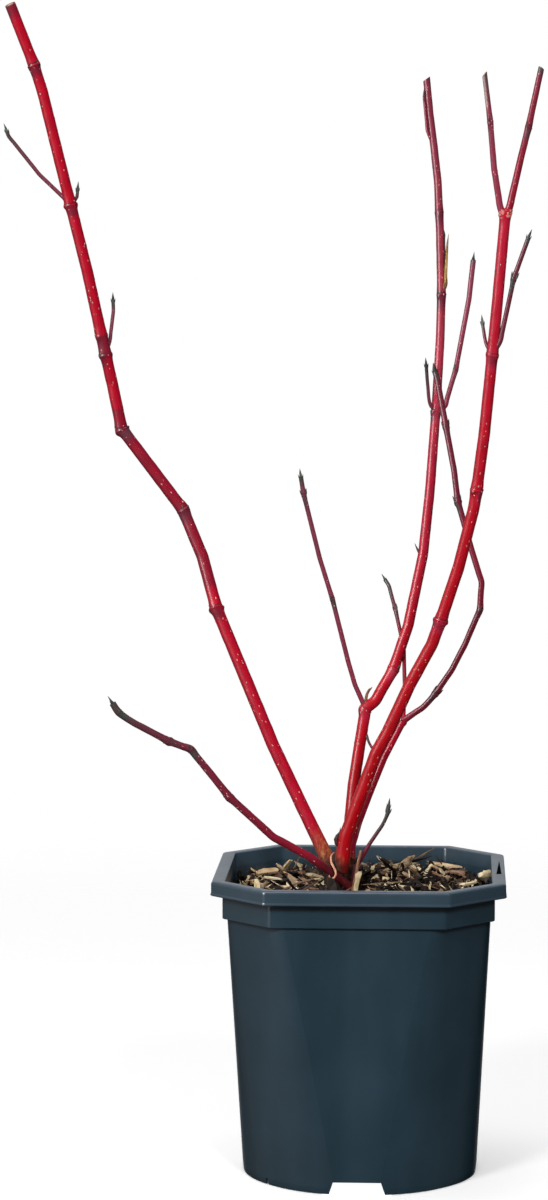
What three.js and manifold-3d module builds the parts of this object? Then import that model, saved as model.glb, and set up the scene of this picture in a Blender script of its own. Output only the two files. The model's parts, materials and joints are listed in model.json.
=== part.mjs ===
// A red-stemmed shrub in winter, bare of leaves, in a square-to-round nursery pot.
// Millimetres, +Z up. The origin is the middle of the pot's flat underside.
// Each stem, branch and twig is one tapering limb: a list of stretches, each
// [length, lean from upright, heading], with headings counted from +X towards +Y
// and the viewer of the photograph on the -Y side.

import * as THREE from 'three';
import { mergeVertices } from 'three/addons/utils/BufferGeometryUtils.js';
import Module from 'manifold-3d';

const wasm = await Module();
wasm.setup();

// Pot
const POT_HEIGHT = 199;
const RIM_HALF = 95;
const RIM_CHAMFER = 35;
const RIM_THICK = 1.8;
const SKIRT_DROP = 9;
const COLLAR_INSET = 7.5;
const COLLAR_FOOT_Z = 174.5;
const WALL_STEP = 2.5;
const WALL_THICK = 1.8;
const FOOT_HALF = 77;
const WALL_RINGS = 6;
const CORNER_SEGMENTS = 9;
const SIDES_OF_POT = 4;
const QUARTER = Math.PI / 2;

// How far the wall is eight-sided (1) and not round (0), at the foot and under the collar
const EIGHT_SIDED = [0.16, 0.94];
const EIGHT_SIDED_POWER = 1.25;

// Underside of the pot
const FLOOR_THICK = 2;
const PAD_RADIUS = 42;
const PAD_FLAT_ANGLE = 0.2;
const CHANNEL_SLOPE = 4;
const CHANNEL_ROOF_Z = 10;
const NOTCH_HEIGHT = 9;
const NOTCH_TOP_HALF = 15.4;
const NOTCH_FOOT_HALF = 18;
const DRAIN_HOLES = 8;
const DRAIN_HOLE_RADIUS = 3.5;
const DRAIN_HOLE_SIDES = 12;
const DRAIN_CIRCLE_RADIUS = 60;
const NICK_WIDTH = 2.6;
const NICK_HEIGHT = 4;
const NICK_TURN = 0.46;
const CUT_DEPTH = 20;
const CUT_MARGIN = 1;

// Label slot in the right-hand flange
const SLOT_NEAR_Y = -20;
const SLOT_FAR_Y = 31;
const SLOT_NEAR_X = [88.6, 92.2];
const SLOT_FAR_X = 91.2;

// What fills the pot
const GAP = 0.3;
const MIX_TOP_Z = 172;
const MULCH_EDGE_Z = 184;
const MULCH_HEAP = 6;
const MULCH_HEAP_AT = [22, 34];
const MULCH_HEAP_SPREAD = 45;
const MULCH_RINGS = [0.3, 0.6, 0.82, 1];
const MULCH_WAVES = [[1.4, 7.3, 8.9], [0.9, 13, 6.5]];
const MULCH_CLEARANCE = 0.5;
const CHIP_COUNT = 40;
const CHIP_SEED = 19;
const CHIP_LENGTH = [9, 26];
const CHIP_WIDTH = [3, 6.5];
const CHIP_THICK = [1.6, 3.2];
const CHIP_TILT = [0.3, 0.22];
const CHIP_LIFT = 0.4;
const CHIP_FREE_RADIUS = 27;
const CHIP_EDGE_RADIUS = 65;

// Root crown: flat cut on the potting mix, then one ring per row of [height, x, y, radius]
const CROWN_RINGS = [
  [0, -8, 2, 17], [8, -9, 2, 14], [16, -11, 2, 12], [26, -12, 3, 11.5], [32, -13, 3, 10], [35.5, -13, 3, 6],
];
const CROWN_SIDES = 14;
const CROWN_LOBES = 5;
const CROWN_LOBE_DEPTH = 0.08;

// Limbs; those stouter than STOUT_RADIUS at the foot are red stems, without side buds
const STOUT_RADIUS = 2;
const STEM_SIDES = 8;
const TWIG_SIDES = 5;
const RING_STEP = 18;
const LINE_DIVISIONS = 1200;
const BEND_LENGTH = 6;
const STRAIGHT_FROM = 15;
const NODE_SWELL = 0.16;
const NODE_SPREAD = 5;
const FLARE = 0.3;
const FLARE_LENGTH = 16;
const SIDE_BUD = [5.6, 1.2];
const SIDE_BUD_SPLAY = 0.28;
const SIDE_BUD_SEAT = 0.82;
const SIDE_BUD_TURNS = [1.9, 0.35];
const TIP_BUD = [9, 1.25];
const BUD_SIDES = 4;
const BUD_SUNK = 0.15;
const BUD_PROFILE = [[-BUD_SUNK, 0.5], [0.3, 1], [0.95, 0.16]];

const COLOURS = {
  pot: 0x33434e,
  mix: 0x2a1d16,
  mulch: 0xa98a68,
  crown: 0x6a3a28,
  bark: 0xb3152b,
  twig: 0x6f3038,
};

// Each limb: where it springs from (its parent and a place, or a node of the parent),
// its radii at foot and tip, its stretches, the numbers of the stretches that end in a
// swollen node, how it ends, and the other limbs that it is kept clear of.
const LIMBS = [
  {
    name: 'stem_front',
    from: ['root_crown', [-13, -4, 198]],
    radii: [4.3, 3.4],
    reach: [
      [24, 11, 322], [21, 21, 336], [38, 21, 338], [18, 29, 340], [34, 26, 337], [31, 30, 336], [18, 23, 327],
      [37, 21, 327], [39, 17, 324], [13, 13, 313], [37, 12, 307], [51, 10, 302], [35, 10, 300], [50, 9, 302],
      [6, 9, 302],
    ],
    nodes: [7, 10, 12, 14],
    end: 'cut',
    clear: [],
  },
  {
    name: 'stem_left',
    from: ['root_crown', [-17, 2, 193.5]],
    radii: [4.3, 3.55],
    reach: [
      [22, 26, 166], [27, 28, 161], [45, 27, 164], [99, 24, 163], [35, 19, 146], [34, 24, 163],
      [67, 37, 183], [30, 12, 200], [21, 16, 224], [55, 14, 216], [46, 15, 209], [75, 15.5, 214],
      [18, 20, 215], [42, 23, 209],
    ],
    nodes: [4, 6, 7, 9, 11, 13],
    end: 'cut',
    clear: ['stem_front'],
  },
  {
    name: 'stem_middle',
    from: ['root_crown', [-8.5, 9, 193]],
    radii: [4.1, 2.4],
    reach: [
      [36, 9, 77], [23, 9, 57], [26, 11, 40], [25, 10, 25], [8, 51, 10], [15, 31, 16], [10, 31, 21],
      [30, 20, 23], [48, 15, 40], [42, 11, 58], [54, 10, 66], [49, 11, 74], [29, 9, 82], [44, 11, 98],
      [32, 11, 105], [25, 14, 117], [22, 16, 117], [26, 15, 112],
    ],
    nodes: [4, 7, 9, 11, 13, 15],
    end: 'cut',
    clear: ['stem_front', 'stem_left'],
  },
  {
    name: 'stem_old',
    from: ['root_crown', [-7, 2, 195]],
    radii: [2.7, 2.3],
    reach: [[19, 3, 0], [16, 16, 0], [21, 21, 8], [24, 22, 0], [28, 27, 0]],
    nodes: [5],
    end: 'cut',
    clear: ['stem_front', 'stem_middle'],
  },
  {
    name: 'branch_low',
    from: ['root_crown', [-5.5, -8, 186]],
    radii: [2.8, 2.15],
    reach: [
      [19, 51, 213], [20, 54, 202], [28, 60, 197], [40, 47, 196], [20, 38, 193], [20, 39, 189], [16, 68, 196],
      [26, 61, 198], [12, 54, 197], [7, 34, 199],
    ],
    nodes: [4, 6, 7, 9],
    end: 'bud',
    clear: ['stem_front', 'stem_left'],
  },
  {
    name: 'fork_left',
    from: ['stem_front', 14],
    radii: [2.1, 1.6],
    reach: [[9, 21, 195], [24, 13, 225], [29, 11, 242], [31, 11, 229]],
    nodes: [3],
    end: 'cut',
    clear: [],
  },
  {
    name: 'fork_right',
    from: ['stem_front', 14],
    radii: [2.3, 1.9],
    reach: [[9, 20, 12], [32, 15, 32], [19, 17, 36], [39, 16, 42]],
    nodes: [3],
    end: 'cut',
    clear: ['fork_left'],
  },
  {
    name: 'branch_inner',
    from: ['stem_middle', 4],
    radii: [1.6, 1.5],
    reach: [[18, 25, 203], [16, 19, 215], [45, 18, 222], [29, 20, 215], [45, 20, 230], [12, 17, 240]],
    nodes: [3, 5],
    end: 'bud',
    clear: [],
  },
  {
    name: 'branch_curved',
    from: ['stem_old', 5],
    radii: [2.0, 1.95],
    reach: [
      [16, 55, 356], [13, 41, 353], [18, 34, 354], [19, 27, 353], [25, 23, 348], [18, 3, 5], [24, 18, 164],
      [31, 17, 161], [20, 11, 130], [30, 16, 132], [31, 17, 129], [5, 20, 141],
    ],
    nodes: [2, 5, 8, 10],
    end: 'bud',
    clear: ['stem_front'],
  },
  {
    name: 'twig_old_stem',
    from: ['stem_old', 5],
    radii: [1.35, 1.3],
    reach: [[24, 36, 87], [31, 37, 93], [29, 34, 111], [19, 36, 115], [4, 41, 140]],
    nodes: [3],
    end: 'bud',
    clear: ['branch_curved'],
  },
  {
    name: 'sprout_tall',
    from: ['root_crown', [-4.5, -7, 187]],
    radii: [1.5, 1.1],
    reach: [[14, 14, 297], [19, 31, 335], [17, 35, 336], [9, 25, 331], [4, 9, 324]],
    nodes: [4],
    end: 'bud',
    clear: ['stem_old', 'branch_low'],
  },
  {
    name: 'sprout_short',
    from: ['root_crown', [-4.5, -12, 184]],
    radii: [1.3, 0.8],
    reach: [[18, 12, 315], [12, 12, 337]],
    nodes: [],
    end: 'cut',
    clear: ['branch_low', 'sprout_tall', 'stem_old'],
  },
  {
    name: 'twig_left_stem_top',
    from: ['stem_left', 11],
    radii: [1.35, 1.25],
    reach: [[10, 48, 203], [18, 47, 198], [32, 40, 203], [3, 21, 200]],
    nodes: [2],
    end: 'bud',
    clear: [],
  },
  {
    name: 'spur_left_stem_top',
    from: ['stem_left', 11],
    radii: [1.3, 1.0],
    reach: [[6, 45, 20], [5, 12, 60]],
    nodes: [],
    end: 'bud',
    clear: ['twig_left_stem_top'],
  },
  {
    name: 'twig_left_stem_middle',
    from: ['stem_left', 9],
    radii: [1.25, 1.2],
    reach: [[9, 22, 36], [20, 13, 63], [7, 9, 103]],
    nodes: [],
    end: 'bud',
    clear: [],
  },
  {
    name: 'twig_front_stem_left',
    from: ['stem_front', 12],
    radii: [1.15, 1.05],
    reach: [[7, 38, 147], [10, 16, 137], [4, 14, 128]],
    nodes: [],
    end: 'bud',
    clear: [],
  },
  {
    name: 'twig_front_stem_right',
    from: ['stem_front', 12],
    radii: [1.6, 1.45],
    reach: [[10, 36, 325], [25, 15, 322], [16, 16, 315], [27, 22, 331]],
    nodes: [3],
    end: 'bud',
    clear: ['twig_front_stem_left'],
  },
  {
    name: 'twig_front_stem_low',
    from: ['stem_front', 3],
    radii: [0.9, 0.8],
    reach: [[9, 32, 170], [5, 18, 150]],
    nodes: [],
    end: 'cut',
    clear: ['stem_middle'],
  },
  {
    name: 'twig_middle_stem_left',
    from: ['stem_middle', 11],
    radii: [1.15, 1.15],
    reach: [[6, 51, 219], [14, 15, 239], [13, 14, 252]],
    nodes: [],
    end: 'bud',
    clear: [],
  },
  {
    name: 'twig_middle_stem_right',
    from: ['stem_middle', 11],
    radii: [1.65, 1.8],
    reach: [[7, 67, 26], [26, 20, 36], [48, 16, 50], [27, 14, 64]],
    nodes: [2],
    end: 'bud',
    clear: ['twig_middle_stem_left'],
  },
  {
    name: 'twig_middle_stem_back',
    from: ['stem_middle', 13],
    radii: [1.3, 1.1],
    reach: [[9, 40, 61], [32, 14, 104], [27, 14, 117], [9, 11, 115]],
    nodes: [2],
    end: 'bud',
    clear: [],
  },
  {
    name: 'snag_middle_stem_top',
    from: ['stem_middle', 13],
    radii: [1.2, 0.7],
    reach: [[8, 22, 330], [33, 5, 60]],
    nodes: [],
    end: 'cut',
    clear: ['twig_middle_stem_back'],
  },
  {
    name: 'snag_middle_stem_fork',
    from: ['stem_middle', 4],
    radii: [1.2, 0.8],
    reach: [[10, 14, 290], [7, 32, 335]],
    nodes: [],
    end: 'cut',
    clear: ['branch_inner'],
  },
  {
    name: 'sliver_middle_stem_top',
    from: ['stem_middle', 16],
    radii: [1.1, 0.8],
    reach: [[11, 24, 178], [29, 15, 114]],
    nodes: [],
    end: 'cut',
    clear: [],
  },
];

// A repeatable random sequence
function makeRandom(seed) {
  let state = seed;
  return () => {
    state = (state * 1664525 + 1013904223) % 4294967296;
    return state / 4294967296;
  };
}

function between(random, [low, high]) {
  return low + (high - low) * random();
}

// A closed solid from rings with the same number of points; slant picks its quads' diagonal
function loft(rings, firstCentre, lastCentre, slant = 'up') {
  const count = rings[0].length;
  const points = rings.flat();
  const first = points.push(firstCentre) - 1;
  const last = points.push(lastCentre) - 1;
  const faces = [];
  for (let k = 0; k < count; k += 1) {
    const next = (k + 1) % count;
    faces.push(first, next, k);
    for (let row = 0; row < rings.length - 1; row += 1) {
      const low = row * count;
      const high = low + count;
      if (slant === 'up') {
        faces.push(low + k, low + next, high + next, low + k, high + next, high + k);
      } else {
        faces.push(low + k, low + next, high + k, low + next, high + next, high + k);
      }
    }
    const top = (rings.length - 1) * count;
    faces.push(last, top + k, top + next);
  }
  const geometry = new THREE.BufferGeometry();
  const numbers = points.flatMap((p) => p.toArray());
  geometry.setAttribute('position', new THREE.Float32BufferAttribute(numbers, 3));
  geometry.setIndex(faces);
  return geometry;
}

function toSolid(geometry) {
  const bare = geometry.clone();
  bare.deleteAttribute('normal');
  bare.deleteAttribute('uv');
  const merged = mergeVertices(bare, 1e-4);
  return new wasm.Manifold(new wasm.Mesh({
    numProp: 3,
    vertProperties: new Float32Array(merged.attributes.position.array),
    triVerts: new Uint32Array(merged.index.array),
  }));
}

// The outer shell of a joined solid: sealed hollows are filled and loose scraps dropped
function outerShell(positions, triangles) {
  const owner = Array.from({ length: positions.length / 3 }, (_, k) => k);
  const rootOf = (k) => {
    let at = k;
    while (owner[at] !== at) {
      owner[at] = owner[owner[at]];
      at = owner[at];
    }
    return at;
  };
  for (let t = 0; t < triangles.length; t += 3) {
    owner[rootOf(triangles[t + 1])] = rootOf(triangles[t]);
    owner[rootOf(triangles[t + 2])] = rootOf(triangles[t]);
  }
  const corner = (k) => vector(positions[3 * k], positions[3 * k + 1], positions[3 * k + 2]);
  const volumes = new Map();
  for (let t = 0; t < triangles.length; t += 3) {
    const [a, b, c] = [0, 1, 2].map((k) => corner(triangles[t + k]));
    const shell = rootOf(triangles[t]);
    volumes.set(shell, (volumes.get(shell) ?? 0) + a.dot(b.cross(c)) / 6);
  }
  const [main] = [...volumes].sort((a, b) => b[1] - a[1])[0];
  return Array.from(triangles).filter((_, k) => rootOf(triangles[k - (k % 3)]) === main);
}

function toGeometry(solid) {
  const mesh = solid.getMesh();
  const geometry = new THREE.BufferGeometry();
  geometry.setAttribute('position', new THREE.BufferAttribute(mesh.vertProperties, 3));
  geometry.setIndex(outerShell(mesh.vertProperties, mesh.triVerts));
  geometry.computeVertexNormals();
  return geometry;
}

function vector(x, y, z) {
  return new THREE.Vector3(x, y, z);
}

// One level outline of the pot, with the same number of points round each of its corners
function potRing(z, pointAt) {
  const ring = [];
  for (let side = 0; side < SIDES_OF_POT; side += 1) {
    for (let k = 0; k <= CORNER_SEGMENTS; k += 1) {
      const [x, y] = pointAt(k);
      ring.push(vector(x, y, z).applyAxisAngle(vector(0, 0, 1), side * QUARTER));
    }
  }
  return ring;
}

function roundRing(radius, z) {
  const step = (QUARTER - 2 * PAD_FLAT_ANGLE) / CORNER_SEGMENTS;
  return potRing(z, (k) => {
    const angle = PAD_FLAT_ANGLE + k * step;
    return [radius * Math.cos(angle), radius * Math.sin(angle)];
  });
}

// Half the width of each flat of an eight-sided outline, from the distances of its flats and chamfers
function flatHalf(half, reach) {
  return reach * Math.SQRT2 - half;
}

function rimReach(inset) {
  return (2 * RIM_HALF - RIM_CHAMFER) / Math.SQRT2 - inset;
}

function rimRing(inset, z) {
  const half = RIM_HALF - inset;
  const flat = flatHalf(half, rimReach(inset));
  return potRing(z, (k) => {
    const share = k / CORNER_SEGMENTS;
    return [half + share * (flat - half), flat + share * (half - flat)];
  });
}

// Distance of the wall's flats from the axis at a height
function wallHalf(z) {
  const top = RIM_HALF - COLLAR_INSET - WALL_STEP;
  return FOOT_HALF + (top - FOOT_HALF) * (z / COLLAR_FOOT_Z);
}

// The wall is eight-sided under the collar and nearly round at the foot: its flats and
// chamfers narrow downwards, and a widening cone lies between each two of them
function wallRing(z, inset) {
  const half = wallHalf(z) - inset;
  const slimmest = COLLAR_INSET + WALL_STEP;
  const reach = (wallHalf(z) * rimReach(slimmest)) / (RIM_HALF - slimmest) - inset;
  const flat = flatHalf(half, reach);
  const [foot, top] = EIGHT_SIDED;
  const eight = foot + (top - foot) * (z / COLLAR_FOOT_Z) ** EIGHT_SIDED_POWER;
  const radius = (1 - eight) * half;
  const arc = (CORNER_SEGMENTS - 1) / 2;
  return potRing(z, (k) => {
    const first = k <= arc;
    const angle = ((first ? k : k - 1) * QUARTER) / (2 * arc);
    const [x, y] = first ? [half, flat] : [flat, half];
    return [eight * x + radius * Math.cos(angle), eight * y + radius * Math.sin(angle)];
  });
}

function potRings() {
  const rings = [
    roundRing(PAD_RADIUS, 0),
    roundRing(PAD_RADIUS + CHANNEL_SLOPE, CHANNEL_ROOF_Z),
    wallRing(CHANNEL_ROOF_Z, WALL_THICK),
    wallRing(0, WALL_THICK),
  ];
  for (let k = 0; k <= WALL_RINGS; k += 1) {
    rings.push(wallRing((COLLAR_FOOT_Z * k) / WALL_RINGS, 0));
  }
  const skirtInner = RIM_THICK;
  const collarInner = COLLAR_INSET + WALL_THICK;
  rings.push(
    rimRing(COLLAR_INSET, COLLAR_FOOT_Z),
    rimRing(COLLAR_INSET, POT_HEIGHT - RIM_THICK),
    rimRing(skirtInner, POT_HEIGHT - RIM_THICK),
    rimRing(skirtInner, POT_HEIGHT - SKIRT_DROP),
    rimRing(0, POT_HEIGHT - SKIRT_DROP),
    rimRing(0, POT_HEIGHT),
    rimRing(collarInner, POT_HEIGHT),
    rimRing(collarInner, COLLAR_FOOT_Z + WALL_THICK),
    wallRing(COLLAR_FOOT_Z, WALL_THICK).map((p) => p.setZ(COLLAR_FOOT_Z + WALL_THICK)),
  );
  for (let k = WALL_RINGS; k >= 1; k -= 1) {
    rings.push(wallRing((COLLAR_FOOT_Z * k) / WALL_RINGS, WALL_THICK));
  }
  rings.push(
    wallRing(CHANNEL_ROOF_Z + FLOOR_THICK, WALL_THICK),
    roundRing(PAD_RADIUS + CHANNEL_SLOPE, CHANNEL_ROOF_Z + FLOOR_THICK),
    roundRing(PAD_RADIUS, FLOOR_THICK),
  );
  return rings;
}

function prism(outline, depth) {
  const shape = new THREE.Shape(outline.map(([x, y]) => new THREE.Vector2(x, y)));
  return new THREE.ExtrudeGeometry(shape, { depth, bevelEnabled: false });
}

// The drainage notch in the middle of each flat's foot
function notchCutter(side) {
  const splay = (NOTCH_FOOT_HALF - NOTCH_TOP_HALF) / NOTCH_HEIGHT;
  const low = NOTCH_FOOT_HALF + splay * CUT_MARGIN;
  const outline = [
    [-low, -CUT_MARGIN],
    [low, -CUT_MARGIN],
    [NOTCH_TOP_HALF, NOTCH_HEIGHT],
    [-NOTCH_TOP_HALF, NOTCH_HEIGHT],
  ];
  const cutter = prism(outline, CUT_DEPTH);
  cutter.rotateX(QUARTER);
  cutter.translate(0, CUT_DEPTH / 2 - FOOT_HALF, 0);
  cutter.rotateZ(side * QUARTER);
  return toSolid(cutter);
}

// The narrow nick in the foot below each corner
function nickCutter(side) {
  const cutter = new THREE.BoxGeometry(CUT_DEPTH / 2, NICK_WIDTH, NICK_HEIGHT * 2);
  cutter.translate(FOOT_HALF, 0, 0);
  cutter.rotateZ((side + NICK_TURN) * QUARTER);
  return toSolid(cutter);
}

function drainCutter(index) {
  const radius = DRAIN_HOLE_RADIUS;
  const cutter = new THREE.CylinderGeometry(radius, radius, CUT_DEPTH / 2, DRAIN_HOLE_SIDES);
  const angle = ((index + 0.5) * 2 * Math.PI) / DRAIN_HOLES;
  cutter.rotateX(QUARTER);
  cutter.translate(DRAIN_CIRCLE_RADIUS, 0, CHANNEL_ROOF_Z);
  cutter.rotateZ(angle);
  return toSolid(cutter);
}

function labelSlotCutter() {
  const outline = [[SLOT_NEAR_X[0], SLOT_NEAR_Y], [SLOT_NEAR_X[1], SLOT_NEAR_Y], [SLOT_FAR_X, SLOT_FAR_Y]];
  const cutter = prism(outline, CUT_DEPTH / 2);
  cutter.translate(0, 0, POT_HEIGHT - CUT_DEPTH / 4);
  return toSolid(cutter);
}

function pot() {
  let solid = toSolid(loft(potRings(), vector(0, 0, 0), vector(0, 0, FLOOR_THICK)));
  for (let side = 0; side < SIDES_OF_POT; side += 1) {
    solid = solid.subtract(notchCutter(side)).subtract(nickCutter(side));
  }
  for (let index = 0; index < DRAIN_HOLES; index += 1) {
    solid = solid.subtract(drainCutter(index));
  }
  return solid.subtract(labelSlotCutter());
}

// The potting mix fills the pot up to the mulch
function pottingMix() {
  const floor = CHANNEL_ROOF_Z + FLOOR_THICK + GAP;
  const inset = WALL_THICK + GAP;
  const rings = [
    roundRing(PAD_RADIUS - GAP, FLOOR_THICK + GAP),
    roundRing(PAD_RADIUS + CHANNEL_SLOPE - GAP, floor),
    wallRing(floor, inset),
  ];
  for (let k = 1; k < WALL_RINGS; k += 1) {
    rings.push(wallRing((COLLAR_FOOT_Z * k) / WALL_RINGS, inset));
  }
  rings.push(wallRing(MIX_TOP_Z, inset));
  return toSolid(loft(rings, vector(0, 0, FLOOR_THICK + GAP), vector(0, 0, MIX_TOP_Z), 'down'));
}

// Height of the mulch at a place: level near the walls, heaped behind and to the right of the stems
function mulchHeight(x, y) {
  const away = Math.hypot(x - MULCH_HEAP_AT[0], y - MULCH_HEAP_AT[1]) / MULCH_HEAP_SPREAD;
  const heap = MULCH_HEAP * Math.exp(-(away ** 2));
  const lump = ([rise, alongX, alongY]) => rise * Math.sin(x / alongX + 1) * Math.cos(y / alongY);
  return MULCH_WAVES.reduce((sum, wave) => sum + lump(wave), MULCH_EDGE_Z + heap);
}

function mulchBed() {
  const edge = wallRing(MIX_TOP_Z, WALL_THICK + MULCH_CLEARANCE);
  const foot = edge.map((p) => vector(p.x, p.y, MIX_TOP_Z + GAP));
  const rings = [foot];
  for (const share of [...MULCH_RINGS].reverse()) {
    const inward = edge.map((p) => p.clone().multiplyScalar(share));
    rings.push(inward.map((p) => p.setZ(mulchHeight(p.x, p.y))));
  }
  return toSolid(loft(rings, vector(0, 0, MIX_TOP_Z + GAP), vector(0, 0, mulchHeight(0, 0))));
}

function barkChip(random) {
  const chip = new THREE.BoxGeometry(
    between(random, CHIP_LENGTH),
    between(random, CHIP_WIDTH),
    between(random, CHIP_THICK),
  );
  const reach = between(random, [CHIP_FREE_RADIUS, CHIP_EDGE_RADIUS]);
  const angle = 2 * Math.PI * random();
  const x = reach * Math.cos(angle);
  const y = reach * Math.sin(angle);
  const [roll, pitch] = CHIP_TILT;
  chip.rotateX(between(random, [-roll, roll]));
  chip.rotateY(between(random, [-pitch, pitch]));
  chip.rotateZ(2 * Math.PI * random());
  chip.translate(x, y, mulchHeight(x, y) + CHIP_LIFT);
  return toSolid(chip);
}

// The mulch, cut back from what rises through it
function barkMulch(rising) {
  const random = makeRandom(CHIP_SEED);
  let solid = mulchBed();
  for (let k = 0; k < CHIP_COUNT; k += 1) {
    solid = solid.add(barkChip(random));
  }
  return rising.reduce((rest, other) => rest.subtract(other), solid);
}

// The short woody crown that the stems share
function rootCrown(grow) {
  const rings = CROWN_RINGS.map(([height, x, y, radius], row) => {
    const ring = [];
    for (let k = 0; k < CROWN_SIDES; k += 1) {
      const angle = (2 * Math.PI * k) / CROWN_SIDES;
      const lobe = 1 + CROWN_LOBE_DEPTH * Math.sin(CROWN_LOBES * angle + row);
      const reach = radius * lobe + grow;
      const level = MIX_TOP_Z + GAP + height;
      ring.push(vector(x + reach * Math.cos(angle), y + reach * Math.sin(angle), level));
    }
    return ring;
  });
  if (grow > 0) {
    rings[0].forEach((p) => p.setZ(p.z - grow));
    rings[rings.length - 1].forEach((p) => p.setZ(p.z + grow));
  }
  const [, footX, footY] = CROWN_RINGS[0];
  const [, topX, topY] = CROWN_RINGS[CROWN_RINGS.length - 1];
  const low = vector(footX, footY, rings[0][0].z);
  const high = vector(topX, topY, rings[rings.length - 1][0].z);
  return toSolid(loft(rings, low, high));
}

function headingVector(lean, heading) {
  const a = THREE.MathUtils.degToRad(lean);
  const h = THREE.MathUtils.degToRad(heading);
  return vector(Math.sin(a) * Math.cos(h), Math.sin(a) * Math.sin(h), Math.cos(a));
}

// The ends of a limb's stretches, from its foot on
function limbJoints(limb, grown) {
  const [parent, place] = limb.from;
  const foot = Array.isArray(place) ? vector(...place) : grown.get(parent).joints[place].clone();
  const joints = [foot];
  for (const [length, lean, heading] of limb.reach) {
    joints.push(joints[joints.length - 1].clone().addScaledVector(headingVector(lean, heading), length));
  }
  return joints;
}

// Distances along a limb where it has a ring: even steps, and one at and beside each node
function stationsOf(total, nodes) {
  const count = Math.max(2, Math.ceil(total / RING_STEP));
  const wanted = nodes.flatMap((at) => [at - NODE_SPREAD, at, at + NODE_SPREAD]);
  for (let k = 0; k <= count; k += 1) {
    const at = (total * k) / count;
    if (nodes.every((node) => Math.abs(node - at) > 1.5 * NODE_SPREAD)) {
      wanted.push(at);
    }
  }
  const inside = wanted.filter((at) => at > 1 && at < total - 1);
  return [0, ...inside.sort((a, b) => a - b), total];
}

function limbRadius(limb, at, total, nodes) {
  const [foot, tip] = limb.radii;
  const taper = foot + (tip - foot) * (at / total);
  const swelling = (node) => NODE_SWELL * Math.exp(-(((at - node) / NODE_SPREAD) ** 2));
  const knot = nodes.reduce((sum, node) => sum + swelling(node), 0);
  const onCrown = limb.from[0] === 'root_crown' ? FLARE * Math.exp(-at / FLARE_LENGTH) : 0;
  return taper * (1 + knot + onCrown);
}

// A spindle of the given length and radius, standing at a place and pointing along a direction
function budSolid(place, direction, [length, radius], grow) {
  const turn = new THREE.Quaternion().setFromUnitVectors(vector(0, 0, 1), direction);
  const put = (p) => p.applyQuaternion(turn).add(place);
  const rings = BUD_PROFILE.map(([height, width]) => {
    const ring = [];
    for (let k = 0; k < BUD_SIDES; k += 1) {
      const angle = (2 * Math.PI * k) / BUD_SIDES;
      const reach = radius * width + grow;
      ring.push(put(vector(reach * Math.cos(angle), reach * Math.sin(angle), height * length)));
    }
    return ring;
  });
  return toSolid(loft(rings, put(vector(0, 0, -BUD_SUNK * length)), put(vector(0, 0, length + grow))));
}

// Two opposite buds at a node, each pair turned a quarter from the one below
function sideBuds(curve, total, at, radius, index, grow) {
  const place = curve.getPointAt(at / total);
  const tangent = curve.getTangentAt(at / total);
  const level = vector(0, 0, 1).cross(tangent).normalize();
  const across = level.applyAxisAngle(tangent, SIDE_BUD_TURNS[index % 2]);
  return [1, -1].map((way) => {
    const side = across.clone().multiplyScalar(way);
    const direction = tangent.clone().addScaledVector(side, SIDE_BUD_SPLAY).normalize();
    const root = place.clone().addScaledVector(side, radius * SIDE_BUD_SEAT);
    return budSolid(root, direction, SIDE_BUD, grow);
  });
}

// The joints and, in each long stretch, two points between which it runs straight
function linePoints(joints) {
  return joints.flatMap((joint, index) => {
    const next = joints[index + 1];
    if (!next || joint.distanceTo(next) < STRAIGHT_FROM) {
      return [joint];
    }
    const share = BEND_LENGTH / joint.distanceTo(next);
    return [joint, joint.clone().lerp(next, share), next.clone().lerp(joint, share)];
  });
}

// A limb's smooth line, its length and the distances of its nodes from its foot
function limbLine(limb, joints) {
  const curve = new THREE.CatmullRomCurve3(linePoints(joints), false, 'centripetal');
  curve.arcLengthDivisions = LINE_DIVISIONS;
  const total = curve.getLength();
  const sumTo = (count) => limb.reach.slice(0, count).reduce((sum, [length]) => sum + length, 0);
  const drawn = sumTo(limb.reach.length);
  const nodes = limb.nodes.map((count) => (sumTo(count) / drawn) * total);
  return { curve, total, nodes };
}

// The rings of a limb, turned as little as its line allows
function limbRings(limb, { curve, total, nodes }, sides, grow) {
  let across = vector(0, 1, 0);
  return stationsOf(total, nodes).map((at) => {
    const tangent = curve.getTangentAt(at / total);
    across = across.clone().addScaledVector(tangent, -across.dot(tangent)).normalize();
    const along = tangent.clone().cross(across);
    const centre = curve.getPointAt(at / total);
    const reach = limbRadius(limb, at, total, nodes) + grow;
    if (at === total) {
      centre.addScaledVector(tangent, grow);
    }
    const ring = [];
    for (let k = 0; k < sides; k += 1) {
      const angle = (2 * Math.PI * k) / sides;
      const place = centre.clone().addScaledVector(across, reach * Math.cos(angle));
      ring.push(place.addScaledVector(along, reach * Math.sin(angle)));
    }
    return { ring, centre };
  });
}

// A limb with its buds; grow is added all round
function limbSolid(limb, joints, grow) {
  const line = limbLine(limb, joints);
  const { curve, total, nodes } = line;
  const stout = limb.radii[0] > STOUT_RADIUS;
  const rings = limbRings(limb, line, stout ? STEM_SIDES : TWIG_SIDES, grow);
  const tip = rings[rings.length - 1].centre;
  let solid = toSolid(loft(rings.map(({ ring }) => ring), rings[0].centre, tip));
  const budded = stout ? [] : nodes.filter((at) => at < total - 1);
  budded.forEach((at, index) => {
    for (const bud of sideBuds(curve, total, at, limbRadius(limb, at, total, nodes), index, grow)) {
      solid = solid.add(bud);
    }
  });
  if (limb.end === 'bud') {
    solid = solid.add(budSolid(tip, curve.getTangentAt(1), TIP_BUD, grow));
  }
  return solid;
}

function material(colour, roughness) {
  return new THREE.MeshStandardMaterial({ color: colour, roughness, metalness: 0 });
}

function named(name, solid, finish) {
  const mesh = new THREE.Mesh(toGeometry(solid), finish);
  mesh.name = name;
  return mesh;
}

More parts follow.
